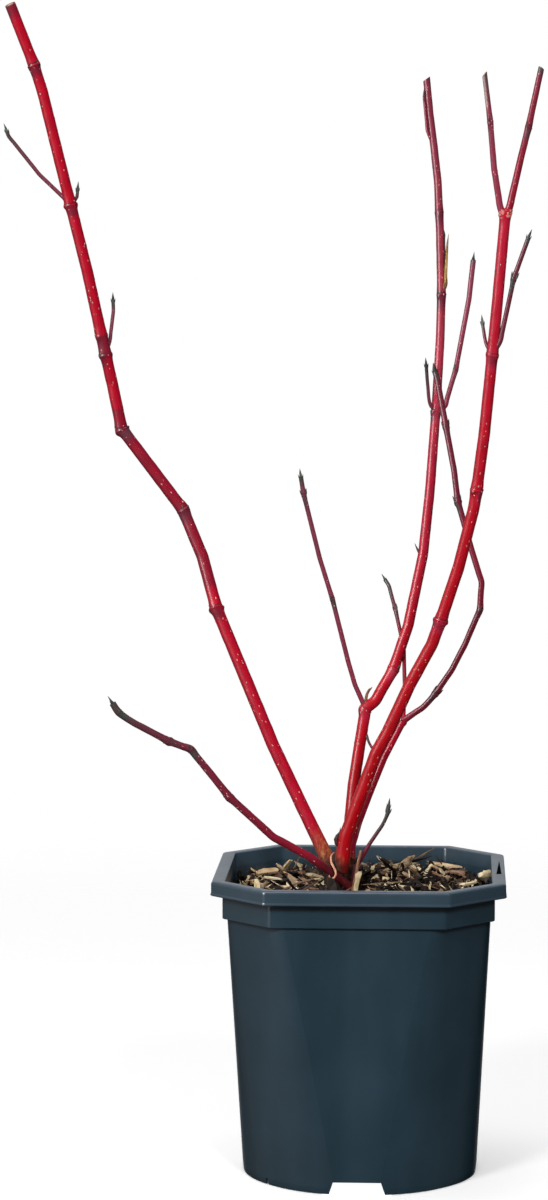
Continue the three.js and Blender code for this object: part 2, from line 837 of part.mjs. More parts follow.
// Limbs in the order that they spring from each other, each cut back from what it would touch;
// grown keeps each limb's joints and its shape with the gap added
function limbMeshes(grown) {
  const bark = material(COLOURS.bark, 0.42);
  const twigBark = material(COLOURS.twig, 0.5);
  return LIMBS.map((limb) => {
    const joints = limbJoints(limb, grown);
    let solid = limbSolid(limb, joints, 0);
    for (const other of [limb.from[0], 'root_crown', ...limb.clear]) {
      solid = solid.subtract(grown.get(other).fat);
    }
    grown.set(limb.name, { joints, fat: limbSolid(limb, joints, GAP) });
    return named(limb.name, solid, limb.radii[0] > STOUT_RADIUS ? bark : twigBark);
  });
}

const grown = new Map([['root_crown', { fat: rootCrown(GAP) }]]);
const limbs = limbMeshes(grown);
const risingNames = LIMBS.filter((limb) => limb.from[0] === 'root_crown').map((limb) => limb.name);
const rising = ['root_crown', ...risingNames].map((name) => grown.get(name).fat);
const plant = new THREE.Group();
plant.add(
  named('pot', pot(), material(COLOURS.pot, 0.45)),
  named('potting_mix', pottingMix(), material(COLOURS.mix, 0.95)),
  named('bark_mulch', barkMulch(rising), material(COLOURS.mulch, 0.9)),
  named('root_crown', rootCrown(0), material(COLOURS.crown, 0.85)),
  ...limbs,
);

export default plant;
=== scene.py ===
"""A bare, red-stemmed shrub in its square-to-round nursery pot.

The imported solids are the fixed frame. Each one is replaced here by a finished
mesh that follows the same rule. Lengths in the classes below are millimetres
in the part's own frame, and a mesh turns them into metres as it is made.
"""

import json
import logging
import math
from collections.abc import Callable, Sequence
from dataclasses import dataclass, field
from enum import Enum
from typing import Any

import bmesh
import bpy
import numpy as np
from mathutils import Matrix, Vector

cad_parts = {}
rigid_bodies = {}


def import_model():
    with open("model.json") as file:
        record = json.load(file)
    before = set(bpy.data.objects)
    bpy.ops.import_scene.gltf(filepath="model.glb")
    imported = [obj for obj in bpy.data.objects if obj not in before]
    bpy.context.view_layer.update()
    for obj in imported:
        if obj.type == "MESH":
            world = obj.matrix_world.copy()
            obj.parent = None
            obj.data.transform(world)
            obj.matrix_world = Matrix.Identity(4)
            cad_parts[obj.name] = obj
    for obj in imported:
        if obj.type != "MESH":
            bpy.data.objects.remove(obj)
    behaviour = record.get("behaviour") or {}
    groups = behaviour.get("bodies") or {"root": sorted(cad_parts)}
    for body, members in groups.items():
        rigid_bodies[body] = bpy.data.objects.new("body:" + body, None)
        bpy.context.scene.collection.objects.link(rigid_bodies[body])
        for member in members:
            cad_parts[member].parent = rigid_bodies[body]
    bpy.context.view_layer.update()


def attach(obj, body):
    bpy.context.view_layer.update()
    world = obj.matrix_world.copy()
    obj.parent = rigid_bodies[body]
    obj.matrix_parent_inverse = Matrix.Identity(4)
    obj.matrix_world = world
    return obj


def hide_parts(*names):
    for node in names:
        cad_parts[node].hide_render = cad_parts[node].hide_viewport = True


LOG = logging.getLogger("shrub")
MM = 0.001
BODY = "root"
Colour = tuple[float, float, float, float]


# Colours and nodes


def srgb(code: str) -> Colour:
    """Turns an sRGB hex colour into a linear one.

    Args:
        code: The colour, as "#rrggbb".

    Returns:
        Linear red, green and blue, and an alpha of 1.
    """
    channels = [int(code[k : k + 2], 16) / 255 for k in (1, 3, 5)]
    linear = [c / 12.92 if c <= 0.04045 else ((c + 0.055) / 1.055) ** 2.4 for c in channels]
    return (*linear, 1.0)


def add_node(
    tree: bpy.types.NodeTree,
    kind: str,
    inputs: dict[str | int, Any] | None = None,
    stops: Sequence[tuple[float, str]] = (),
    **settings: Any,
) -> bpy.types.Node:
    """Adds a node with its settings, its values and its links.

    Args:
        tree: The node tree that gets the node.
        kind: Blender's name of the node's type.
        inputs: For each input, a value or the output socket that feeds it.
        stops: For a colour ramp, the place and hex colour of each stop.
        **settings: Properties of the node itself.

    Returns:
        The new node.
    """
    node = tree.nodes.new(kind)
    for name, value in settings.items():
        setattr(node, name, value)
    for key, value in (inputs or {}).items():
        if isinstance(value, bpy.types.NodeSocket):
            tree.links.new(value, node.inputs[key])
        else:
            node.inputs[key].default_value = value
    if stops:
        elements = node.color_ramp.elements
        while len(elements) < len(stops):
            elements.new(1.0)
        for element, (place, code) in zip(elements, stops):
            element.position = place
            element.color = srgb(code)
    return node


def reckon(
    tree: bpy.types.NodeTree, operation: str, *terms: Any, clamp: bool = False
) -> bpy.types.NodeSocket:
    """Adds a node that reckons with numbers.

    Args:
        tree: The node tree that gets the node.
        operation: Blender's name of what is reckoned.
        *terms: The numbers, or the sockets that give them.
        clamp: Whether the result is held between 0 and 1.

    Returns:
        The result's socket.
    """
    terms_by_place = dict(enumerate(terms))
    return add_node(
        tree, "ShaderNodeMath", terms_by_place, operation=operation, use_clamp=clamp
    ).outputs[0]


def rescale(
    tree: bpy.types.NodeTree, value: bpy.types.NodeSocket, given: tuple[float, float],
    wanted: tuple[float, float] = (0.0, 1.0), soft: bool = False,
) -> bpy.types.NodeSocket:
    """Adds a node that maps one range of a number to another and holds it there.

    Args:
        tree: The node tree that gets the node.
        value: The socket that gives the number.
        given: The range that is mapped.
        wanted: What its two ends become.
        soft: Whether the result eases in and out.

    Returns:
        The result's socket.
    """
    kind = "SMOOTHSTEP" if soft else "LINEAR"
    inputs = {"Value": value, 1: given[0], 2: given[1], 3: wanted[0], 4: wanted[1]}
    return add_node(tree, "ShaderNodeMapRange", inputs, interpolation_type=kind).outputs[0]


def mix_numbers(tree: bpy.types.NodeTree, share: Any, first: Any, second: Any) -> bpy.types.NodeSocket:
    """Adds a node that goes from one number to another as the share goes from 0 to 1."""
    return add_node(tree, "ShaderNodeMix", {0: share, 2: first, 3: second}, data_type="FLOAT").outputs[0]


def mix_colours(
    tree: bpy.types.NodeTree, share: Any, first: Any, second: Any, how: str = "MIX"
) -> bpy.types.NodeSocket:
    """Adds a node that puts a second colour on a first one by a share from 0 to 1."""
    return add_node(
        tree, "ShaderNodeMix", {0: share, 6: first, 7: second}, data_type="RGBA", blend_type=how
    ).outputs[2]


def noise(
    tree: bpy.types.NodeTree, place: bpy.types.NodeSocket, scale: float, detail: float = 2.0,
    rough: float = 0.5,
) -> bpy.types.NodeSocket:
    """Adds a cloudy pattern, whose patches are about one over the scale in size."""
    inputs = {"Vector": place, "Scale": scale, "Detail": detail, "Roughness": rough}
    return add_node(tree, "ShaderNodeTexNoise", inputs).outputs["Fac"]


def drawn_out(
    tree: bpy.types.NodeTree, place: bpy.types.NodeSocket, scale: tuple[float, float, float]
) -> bpy.types.NodeSocket:
    """Scales the place that a pattern is read at, so that the pattern is drawn out."""
    return add_node(tree, "ShaderNodeMapping", {"Vector": place, "Scale": scale}).outputs[0]


def ramp(
    tree: bpy.types.NodeTree, share: bpy.types.NodeSocket, stops: Sequence[tuple[float, str]]
) -> bpy.types.NodeSocket:
    """Adds a colour ramp and returns its colour."""
    return add_node(tree, "ShaderNodeValToRGB", {"Fac": share}, stops=stops).outputs[0]


def facing(
    tree: bpy.types.NodeTree, direction: bpy.types.NodeSocket, way: tuple[float, float, float]
) -> bpy.types.NodeSocket:
    """How far a direction faces a given way: 1 straight at it, 0 across, -1 away."""
    inputs = {0: direction, 1: way}
    return add_node(tree, "ShaderNodeVectorMath", inputs, operation="DOT_PRODUCT").outputs["Value"]


def light_path(tree: bpy.types.NodeTree, kind: str) -> bpy.types.NodeSocket:
    """Tells whether a surface is seen by one kind of ray."""
    return add_node(tree, "ShaderNodeLightPath").outputs[kind]


def object_place(tree: bpy.types.NodeTree) -> bpy.types.NodeSocket:
    """The place in the object's own frame, in metres."""
    return add_node(tree, "ShaderNodeTexCoord").outputs["Object"]


def new_material(name: str) -> tuple[bpy.types.Material, bpy.types.NodeTree]:
    """Makes an empty material.

    Args:
        name: The material's name.

    Returns:
        The material and its empty node tree.
    """
    material = bpy.data.materials.new(name)
    material.use_nodes = True
    material.node_tree.nodes.clear()
    return material, material.node_tree


def finish_surface(
    tree: bpy.types.NodeTree, values: dict[str, Any], height: bpy.types.NodeSocket, depth_mm: float
) -> None:
    """Ends a material with its shader, its bump and its output.

    Args:
        tree: The material's node tree.
        values: Values and links of the shader.
        height: The relief, from 0 to 1.
        depth_mm: How deep a relief of 1 is.
    """
    bump = add_node(tree, "ShaderNodeBump", {"Height": height, "Distance": depth_mm * MM})
    shader = add_node(tree, "ShaderNodeBsdfPrincipled", {**values, "Normal": bump.outputs[0]})
    add_node(tree, "ShaderNodeOutputMaterial", {"Surface": shader.outputs[0]})


# Finishes


@dataclass(frozen=True)
class StemBark:
    """Young dogwood bark: a thin waxy skin, so its red is deep and its gloss satin.

    It reads four attributes of the limb: age along the limb, cork at its foot, scar at its nodes and darker
    bark at its foot, and bare where the bark is gone, and its map of girth and length.
    """

    name: str = "dogwood_bark"
    tones: tuple[tuple[float, str], ...] = (
        (0.0, "#cc0722"), (0.2, "#c60b2f"), (0.42, "#9c1730"), (0.64, "#84293e"), (0.82, "#6c3a45"),
        (1.0, "#4d524c"),
    )
    cork_tones: tuple[tuple[float, str], ...] = ((0.36, "#6a3023"), (0.52, "#a8532f"), (0.7, "#c78455"))
    scar_tone: str = "#2e1716"
    bare_tone: str = "#dcc2b4"
    mottle_mm: float = 7.0
    streak_mm: float = 0.9
    roughness: tuple[float, float] = (0.34, 0.46)
    relief_mm: float = 0.12

    def build(self) -> bpy.types.Material:
        """Builds the material."""
        material, tree = new_material(self.name)
        place = object_place(tree)
        along = add_node(tree, "ShaderNodeUVMap", uv_map="bark").outputs[0]
        age, corky, scar, bare = (
            add_node(tree, "ShaderNodeAttribute", attribute_name=name).outputs["Fac"]
            for name in ("age", "cork", "scar", "bare")
        )
        mottle = noise(tree, place, 1 / (self.mottle_mm * MM), 3.0, 0.55)
        streak = noise(tree, drawn_out(tree, along, (1.0, 0.07, 1.0)), 1 / (self.streak_mm * MM))
        crackle = noise(tree, drawn_out(tree, place, (1.0, 1.0, 0.35)), 620.0, 4.0, 0.65)
        aged = reckon(tree, "MULTIPLY_ADD", mottle, 0.16, age)
        skin = ramp(tree, reckon(tree, "SUBTRACT", aged, 0.08), self.tones)
        dim = rescale(tree, streak, (0.3, 0.7), (0.74, 1.12))
        streaked = mix_colours(tree, 1.0, skin, dim, "MULTIPLY")
        cork_share = rescale(tree, reckon(tree, "MULTIPLY_ADD", crackle, 0.5, corky), (0.42, 0.95))
        barked = mix_colours(tree, cork_share, streaked, ramp(tree, crackle, self.cork_tones))
        scarred = mix_colours(tree, scar, barked, srgb(self.scar_tone))
        grain = mix_colours(tree, 1.0, srgb(self.bare_tone), dim, "MULTIPLY")
        gloss = rescale(tree, mottle, (0.3, 0.7), self.roughness)
        values = {
            "Base Color": mix_colours(tree, bare, scarred, grain),
            "Roughness": reckon(tree, "MULTIPLY_ADD", cork_share, 0.4, gloss),
            "IOR": 1.46, "Coat Weight": 0.5, "Coat Roughness": 0.27, "Specular IOR Level": 0.4,
            "Coat IOR": 1.45,
        }
        finish_surface(tree, values, mix_numbers(tree, cork_share, streak, crackle), self.relief_mm)
        return material


@dataclass(frozen=True)
class Grained:
    """Wood or bark in small pieces: fibres that run along each piece, dull all over."""

    name: str
    dark: str
    tone: str
    pale: str
    fibre_mm: float = 0.7
    roughness: float = 0.82
    relief_mm: float = 0.25

    def build(self) -> bpy.types.Material:
        """Builds the material."""
        material, tree = new_material(self.name)
        along = add_node(tree, "ShaderNodeUVMap", uv_map="bark").outputs[0]
        fibre = noise(tree, drawn_out(tree, along, (1.0, 0.12, 1.0)), 1 / (self.fibre_mm * MM), 3.0)
        stain = noise(tree, object_place(tree), 130.0, 3.0)
        blend = mix_numbers(tree, 0.45, fibre, stain)
        colour = ramp(tree, blend, ((0.36, self.dark), (0.5, self.tone), (0.64, self.pale)))
        values = {"Base Color": colour, "Roughness": self.roughness, "IOR": 1.45}
        finish_surface(tree, values, blend, self.relief_mm)
        return material


@dataclass(frozen=True)
class CorkCrown:
    """Old outer bark of the crown: dry, cracked cork that scatters light evenly."""

    name: str = "crown_cork"
    crack_mm: float = 2.6
    relief_mm: float = 0.8

    def build(self) -> bpy.types.Material:
        """Builds the material."""
        material, tree = new_material(self.name)
        upright = drawn_out(tree, object_place(tree), (1.0, 1.0, 0.4))
        plates = noise(tree, upright, 1 / (self.crack_mm * MM), 5.0, 0.62)
        stops = ((0.36, "#0b0605"), (0.48, "#21120c"), (0.58, "#4a2a1a"), (0.72, "#7d5230"))
        values = {"Base Color": ramp(tree, plates, stops), "Roughness": 0.88, "IOR": 1.45}
        finish_surface(tree, values, plates, self.relief_mm)
        return material


@dataclass(frozen=True)
class MouldedPlastic:
    """Polypropylene, injection moulded: satin, faintly streaked up the wall, paler on top with dust and a
    painted sheen.

    Its roughness stays above 0.28: with lower values, thin lines show along the pattern once denoised.
    """

    name: str = "pot_polypropylene"
    tone: str = "#293f4c"
    deep: str = "#253a46"
    bloom: str = "#2f4654"
    # The pale grey of the top, and the height where it starts: partly dust, partly a painted sheen of the
    # light from above.
    dust_and_sheen_tone: str = "#7d8ea0"
    dust_and_sheen_from: float = 0.1895
    dust_and_sheen_rise: float = 0.0012
    roughness: tuple[float, float] = (0.285, 0.335)
    stipple_mm: float = 1.1
    relief_mm: float = 0.02

    def build(self) -> bpy.types.Material:
        """Builds the material."""
        material, tree = new_material(self.name)
        place = object_place(tree)
        flow = noise(tree, drawn_out(tree, place, (1.0, 1.0, 0.12)), 42.0)
        cloud = noise(tree, place, 22.0, 4.0)
        stops = ((0.36, self.deep), (0.5, self.tone), (0.68, self.bloom))
        colour = ramp(tree, mix_numbers(tree, 0.5, flow, cloud), stops)
        normal = add_node(tree, "ShaderNodeNewGeometry").outputs["Normal"]
        upward = add_node(tree, "ShaderNodeSeparateXYZ", {0: normal}).outputs["Z"]
        height = add_node(tree, "ShaderNodeSeparateXYZ", {0: place}).outputs["Z"]
        # Faces that look up, and everything above the rim's height, are mixed towards the pale grey: partly
        # dust, partly a painted sheen of the light from above.
        settled_dust_and_sheen = reckon(tree, "MULTIPLY", noise(tree, place, 480.0, 4.0, 0.7), upward)
        upward_dust_and_sheen = rescale(tree, settled_dust_and_sheen, (0.2, 0.6), (0.0, 0.4))
        top_dust_and_sheen = rescale(tree, height, (self.dust_and_sheen_from, self.dust_and_sheen_from + self.dust_and_sheen_rise), (0.0, 0.08))
        dust_and_sheen_share = reckon(tree, "MAXIMUM", top_dust_and_sheen, upward_dust_and_sheen)
        stipple = noise(tree, place, 1 / (self.stipple_mm * MM))
        values = {
            "Base Color": mix_colours(tree, dust_and_sheen_share, colour, srgb(self.dust_and_sheen_tone)),
            "Roughness": rescale(tree, flow, (0.3, 0.7), self.roughness),
            "IOR": 1.49, "Specular IOR Level": 0.85,
        }
        finish_surface(tree, values, reckon(tree, "MULTIPLY_ADD", cloud, 2.0, stipple), self.relief_mm)
        return material


@dataclass(frozen=True)
class DampSoil:
    """Moist bark and peat mix: nearly black crumbs with brown fibres."""

    name: str = "potting_soil"
    crumb_mm: float = 2.2
    relief_mm: float = 1.2

    def build(self) -> bpy.types.Material:
        """Builds the material."""
        material, tree = new_material(self.name)
        crumbs = noise(tree, object_place(tree), 1 / (self.crumb_mm * MM), 6.0, 0.7)
        stops = ((0.35, "#080504"), (0.52, "#160d09"), (0.66, "#31201a"))
        values = {"Base Color": ramp(tree, crumbs, stops), "Roughness": 0.9, "IOR": 1.4}
        finish_surface(tree, values, crumbs, self.relief_mm)
        return material


# Mesh making


def deselect() -> None:
    """Deselects every object."""
    for thing in bpy.context.selected_objects:
        thing.select_set(False)


def select_only(piece: bpy.types.Object) -> None:
    """Selects one object and makes it the active one."""
    deselect()
    piece.select_set(True)
    bpy.context.view_layer.objects.active = piece


def edit(piece: bpy.types.Object, mode: str, chosen: Callable[[Any], bool]) -> None:
    """Opens a piece in edit mode with some of its elements selected.

    Args:
        piece: The object to open.
        mode: VERT, EDGE or FACE.
        chosen: Says of each bmesh element of that kind whether it is selected.
    """
    select_only(piece)
    bpy.ops.object.mode_set(mode="EDIT")
    bpy.ops.mesh.select_mode(type=mode)
    bpy.ops.mesh.select_all(action="DESELECT")
    shape = bmesh.from_edit_mesh(piece.data)
    elements = {"VERT": shape.verts, "EDGE": shape.edges, "FACE": shape.faces}[mode]
    for element in elements:
        if chosen(element):
            element.select = True
    shape.select_flush_mode()
    bmesh.update_edit_mesh(piece.data)


def leave_edit() -> None:
    """Goes back to object mode."""
    bpy.ops.object.mode_set(mode="OBJECT")


def face_outwards(piece: bpy.types.Object) -> None:
    """Turns a closed mesh's faces outwards, by the sign of its volume."""
    shape = bmesh.new()
    shape.from_mesh(piece.data)
    inside_out = shape.calc_volume(signed=True) < 0
    shape.free()
    if inside_out:
        edit(piece, "FACE", lambda face: True)
        bpy.ops.mesh.flip_normals()
        leave_edit()


def wrap_grid(
    name: str,
    rows: np.ndarray,
    spans: np.ndarray,
    marks: dict[str, np.ndarray] | None = None,
) -> bpy.types.Object:
    """Adds a grid and wraps it into a tube, one row of the grid for each ring.

    Args:
        name: The new object's name.
        rows: The rings' points in mm, shaped (rings, points, 3).
        spans: Each ring's distance along the tube in mm.
        marks: Values of named attributes, each shaped (rings, points).

    Returns:
        The tube, open at both ends unless its last rings are single points.
    """
    count_rows, count = rows.shape[:2]
    deselect()
    bpy.ops.mesh.primitive_grid_add(x_subdivisions=count, y_subdivisions=count_rows - 1, size=1)
    piece = bpy.context.object
    piece.name = name
    mesh = piece.data
    mesh.name = name
    closed = np.concatenate([rows, rows[:, :1]], axis=1) * MM
    mesh.vertices.foreach_set("co", closed.astype(np.float32).ravel())
    for key, values in (marks or {}).items():
        whole = np.concatenate([values, values[:, :1]], axis=1)
        attribute = mesh.attributes.new(key, "FLOAT", "POINT")
        attribute.data.foreach_set("value", whole.astype(np.float32).ravel())
    steps = np.linalg.norm(np.diff(closed, axis=1), axis=2)
    girth = np.concatenate([np.zeros((count_rows, 1)), np.cumsum(steps, axis=1)], axis=1)
    length = np.repeat(np.asarray(spans, float)[:, None] * MM, count + 1, axis=1)
    corners = np.zeros(len(mesh.loops), np.int64)
    mesh.loops.foreach_get("vertex_index", corners)
    flat = np.stack([girth.ravel()[corners], length.ravel()[corners]], axis=1)
    while mesh.uv_layers:
        mesh.uv_layers.remove(mesh.uv_layers[0])
    layer = mesh.uv_layers.new(name="bark")
    layer.data.foreach_set("uv", flat.astype(np.float32).ravel())
    edit(piece, "VERT", lambda vertex: True)
    bpy.ops.mesh.remove_doubles(threshold=1e-6)
    leave_edit()
    return piece


def close_ends(piece: bpy.types.Object) -> None:
    """Fills every open end of a tube and turns its faces outwards."""
    edit(piece, "EDGE", lambda edge: edge.is_boundary)
    bpy.ops.mesh.edge_face_add()
    leave_edit()
    face_outwards(piece)


def smooth(piece: bpy.types.Object, angle: float = 180.0) -> None:
    """Shades a piece smooth, but for edges sharper than the angle in degrees."""
    select_only(piece)
    if angle >= 180:
        bpy.ops.object.shade_smooth()
    else:
        bpy.ops.object.shade_smooth_by_angle(angle=math.radians(angle))


def join(pieces: Sequence[bpy.types.Object], name: str) -> bpy.types.Object:
    """Joins objects into the first of them.

    Args:
        pieces: The objects to join.
        name: The joined object's name.

    Returns:
        The joined object.
    """
    deselect()
    for piece in pieces:
        piece.select_set(True)
    bpy.context.view_layer.objects.active = pieces[0]
    if len(pieces) > 1:
        bpy.ops.object.join()
    pieces[0].name = name
    pieces[0].data.name = name
    return pieces[0]


def hand_over(piece: bpy.types.Object, slot: str, *nodes: str) -> None:
    """Makes a finished piece ride on the body and stand for its solids.

    Args:
        piece: The finished object.
        slot: The record's material slot. It is not used.
        *nodes: The solids that it replaces.
    """
    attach(piece, BODY)
    if nodes:
        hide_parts(*nodes)
    LOG.info("%s: %d faces, for %s", piece.name, len(piece.data.polygons), nodes or "detail")


def ripple(seed: int, along: np.ndarray, around: np.ndarray, scale: float) -> np.ndarray:
    """A smooth, repeatable unevenness about 0, periodic round a ring.

    Args:
        seed: Picks the pattern.
        along: Distances in mm.
        around: Angles in radians, broadcast against the distances.
        scale: The typical distance between bumps in mm.

    Returns:
        Values of about -1 to 1.
    """
    random = np.random.default_rng(seed)
    total = 0.0
    for octave in range(4):
        rate = 2 * math.pi / (scale / 1.7**octave)
        for _ in range(3):
            phase, turn = random.uniform(0, 2 * math.pi, 2)
            lobes = int(random.integers(0, 3 + octave))
            bend = random.uniform(0.6, 1.0)
            total = total + np.sin(rate * bend * along + phase) * np.cos(lobes * around + turn) / 1.6**octave
    return total / 3.6


@dataclass
class Template:
    """A small shape that is copied many times, kept as arrays."""

    points: np.ndarray
    corners: np.ndarray
    sizes: np.ndarray
    uvs: np.ndarray

    @classmethod
    def from_object(cls, piece: bpy.types.Object) -> "Template":
        """Reads a modelled object's mesh in mm and removes the object."""
        mesh = piece.data
        points = np.zeros(len(mesh.vertices) * 3)
        corners = np.zeros(len(mesh.loops), np.int64)
        sizes = np.zeros(len(mesh.polygons), np.int64)
        uvs = np.zeros(len(mesh.loops) * 2)
        mesh.vertices.foreach_get("co", points)
        mesh.loops.foreach_get("vertex_index", corners)
        mesh.polygons.foreach_get("loop_total", sizes)
        mesh.uv_layers["bark"].data.foreach_get("uv", uvs)
        bpy.data.objects.remove(piece)
        return cls(points.reshape(-1, 3) / MM, corners, sizes, uvs.reshape(-1, 2))


@dataclass
class Heap:
    """Copies of small shapes, gathered as arrays and made one mesh."""

    points: list[np.ndarray] = field(default_factory=list)
    corners: list[np.ndarray] = field(default_factory=list)
    sizes: list[np.ndarray] = field(default_factory=list)
    uvs: list[np.ndarray] = field(default_factory=list)
    slots: list[np.ndarray] = field(default_factory=list)
    count: int = 0

    def add(self, shape: Template, points: np.ndarray, slot: int = 0, shift: float = 0.0) -> None:
        """Adds one copy of a shape.

        Args:
            shape: The shape that is copied.
            points: The copy's own points in mm.
            slot: The copy's material.
            shift: How far its map is moved in metres, so that no two are alike.
        """
        self.points.append(points)
        self.corners.append(shape.corners + self.count)
        self.sizes.append(shape.sizes)
        self.uvs.append(shape.uvs + shift)
        self.slots.append(np.full(len(shape.sizes), slot))
        self.count += len(points)

    def build(
        self, name: str, materials: Sequence[bpy.types.Material], angle: float = 50
    ) -> bpy.types.Object:
        """Makes the gathered copies one object.

        Args:
            name: The object's name.
            materials: Its materials, in the order of the copies' slots.
            angle: Edges sharper than this, in degrees, stay sharp.

        Returns:
            The joined object.
        """
        mesh = bpy.data.meshes.new(name)
        points = np.concatenate(self.points) * MM
        corners = np.concatenate(self.corners)
        sizes = np.concatenate(self.sizes)
        mesh.vertices.add(len(points))
        mesh.vertices.foreach_set("co", points.astype(np.float32).ravel())
        mesh.loops.add(len(corners))
        mesh.loops.foreach_set("vertex_index", corners.astype(np.int32))
        mesh.polygons.add(len(sizes))
        starts = np.concatenate([[0], np.cumsum(sizes)[:-1]])
        mesh.polygons.foreach_set("loop_start", starts.astype(np.int32))
        mesh.polygons.foreach_set("material_index", np.concatenate(self.slots).astype(np.int32))
        layer = mesh.uv_layers.new(name="bark")
        layer.data.foreach_set("uv", np.concatenate(self.uvs).astype(np.float32).ravel())
        for material in materials:
            mesh.materials.append(material)
        mesh.update(calc_edges=True)
        mesh.validate()
        piece = bpy.data.objects.new(name, mesh)
        bpy.context.scene.collection.objects.link(piece)
        smooth(piece, angle)
        return piece


def ring_template(name: str, profile: Sequence[tuple[float, float, float]], sides: int) -> Template:
    """Models a small closed shape on the Z axis from a profile, and keeps it as arrays.

    Args:
        name: The shape's name.
        profile: Rows of height, half-width along X and half-width along Y.
        sides: How many points each row has.

    Returns:
        The shape, closed at both ends.
    """
    angles = np.linspace(0, 2 * math.pi, sides, endpoint=False)
    rows = np.array([
        np.stack([wide * np.cos(angles), deep * np.sin(angles), np.full(sides, height)], axis=1)
        for height, wide, deep in profile
    ])
    piece = wrap_grid(name, rows, [height for height, _, _ in profile])
    close_ends(piece)
    return Template.from_object(piece)


def aligned(points: np.ndarray, direction: np.ndarray, side: np.ndarray, place: np.ndarray) -> np.ndarray:
    """Stands a shape's points up along a direction.

    Args:
        points: Points with the shape's length along Z.
        direction: Where Z goes.
        side: Where X goes, as nearly as the direction allows.
        place: Where the origin goes.

    Returns:
        The placed points.
    """
    upward = direction / np.linalg.norm(direction)
    across = side - upward * (side @ upward)
    across = across / np.linalg.norm(across)
    return points @ np.stack([across, np.cross(upward, across), upward]) + place


# Limbs


class Tip(Enum):
    """How a limb ends."""

    BUD = "a pointed end bud"
    CUT = "a cut across the limb"
    FORK = "a swollen scar from which two limbs fork"


class Wood(Enum):
    """Which group of limbs a limb belongs to."""

    STEM = "stem_bark"
    TWIG = "twig_bark"


@dataclass(frozen=True)
class LimbPlan:
    """What one limb measures. Its stretches are those of the part's own source.

    Attributes:
        name: The solid that the limb replaces.
        root: The place of its foot, or its parent and one of the parent's joints.
        radii: Its radius at the foot and at the tip.
        reach: Its stretches: length, lean from upright and heading in degrees.
        nodes: The numbers of the stretches that end in a node.
        tip: How it ends.
        wood: Its group.
        age: The bark's tone at the foot and at the tip, 0 red to 1 maroon.
        cork: How far up from the foot its bark is corky.
        slant: How far down a slanting cut reaches, and its heading.
        tip_tone: How far down from the tip the bark turns to another tone, and that tone.
        bare: A strip without bark: its start and end, its heading and its half-angle.
        finish: The name of its finish.
        cork_side: The heading of the side that is corky, where only one is.
        worn: Stretches of darker bark: start, end and how much darker.
        spurs: Small pointed spurs: distance from the foot, heading, lean and length.
        end_bud: Its end bud's length and half-width.
        rings: Rings without buds, each by its distance from the foot.
        wide_pairs: The places in the list of nodes whose buds stand left and right.
    """

    name: str
    root: tuple[str, int] | tuple[float, float, float]
    radii: tuple[float, float]
    reach: tuple[tuple[float, float, float], ...]
    nodes: tuple[int, ...] = ()
    tip: Tip = Tip.BUD
    wood: Wood = Wood.TWIG
    age: tuple[float, float] = (0.66, 0.8)
    cork: float = 0.0
    slant: tuple[float, float] = (0.8, 180.0)
    tip_tone: tuple[float, float] = (7.0, 1.0)
    bare: tuple[float, float, float, float] | None = None
    finish: str = "bark"
    cork_side: float | None = None
    worn: tuple[tuple[float, float, float], ...] = ()
    spurs: tuple[tuple[float, float, float, float], ...] = ()
    end_bud: tuple[float, float] = (6.8, 0.95)
    rings: tuple[float, ...] = ()
    wide_pairs: tuple[int, ...] = ()


FINE_TONES = (
    (0.0, "#b01a35"), (0.4, "#a83a52"), (0.64, "#944256"), (0.82, "#7a4a56"), (1.0, "#4d524c"),
)
# The rosy and flushed tones turn pinker up the stem: partly the bark's own colour, partly a painted sheen of
# the light.
ROSY_SHEEN_TONES = (
    (0.0, "#c80414"), (0.12, "#cb0a24"), (0.3, "#cf2240"), (0.48, "#9a2038"), (1.0, "#6c3a45"),
)
FLUSHED_SHEEN_TONES = (
    (0.0, "#c80414"), (0.12, "#cb0a24"), (0.3, "#cf2240"), (0.46, "#ca3a52"), (0.6, "#a83648"),
    (0.8, "#903046"), (1.0, "#7a2a3c"),
)

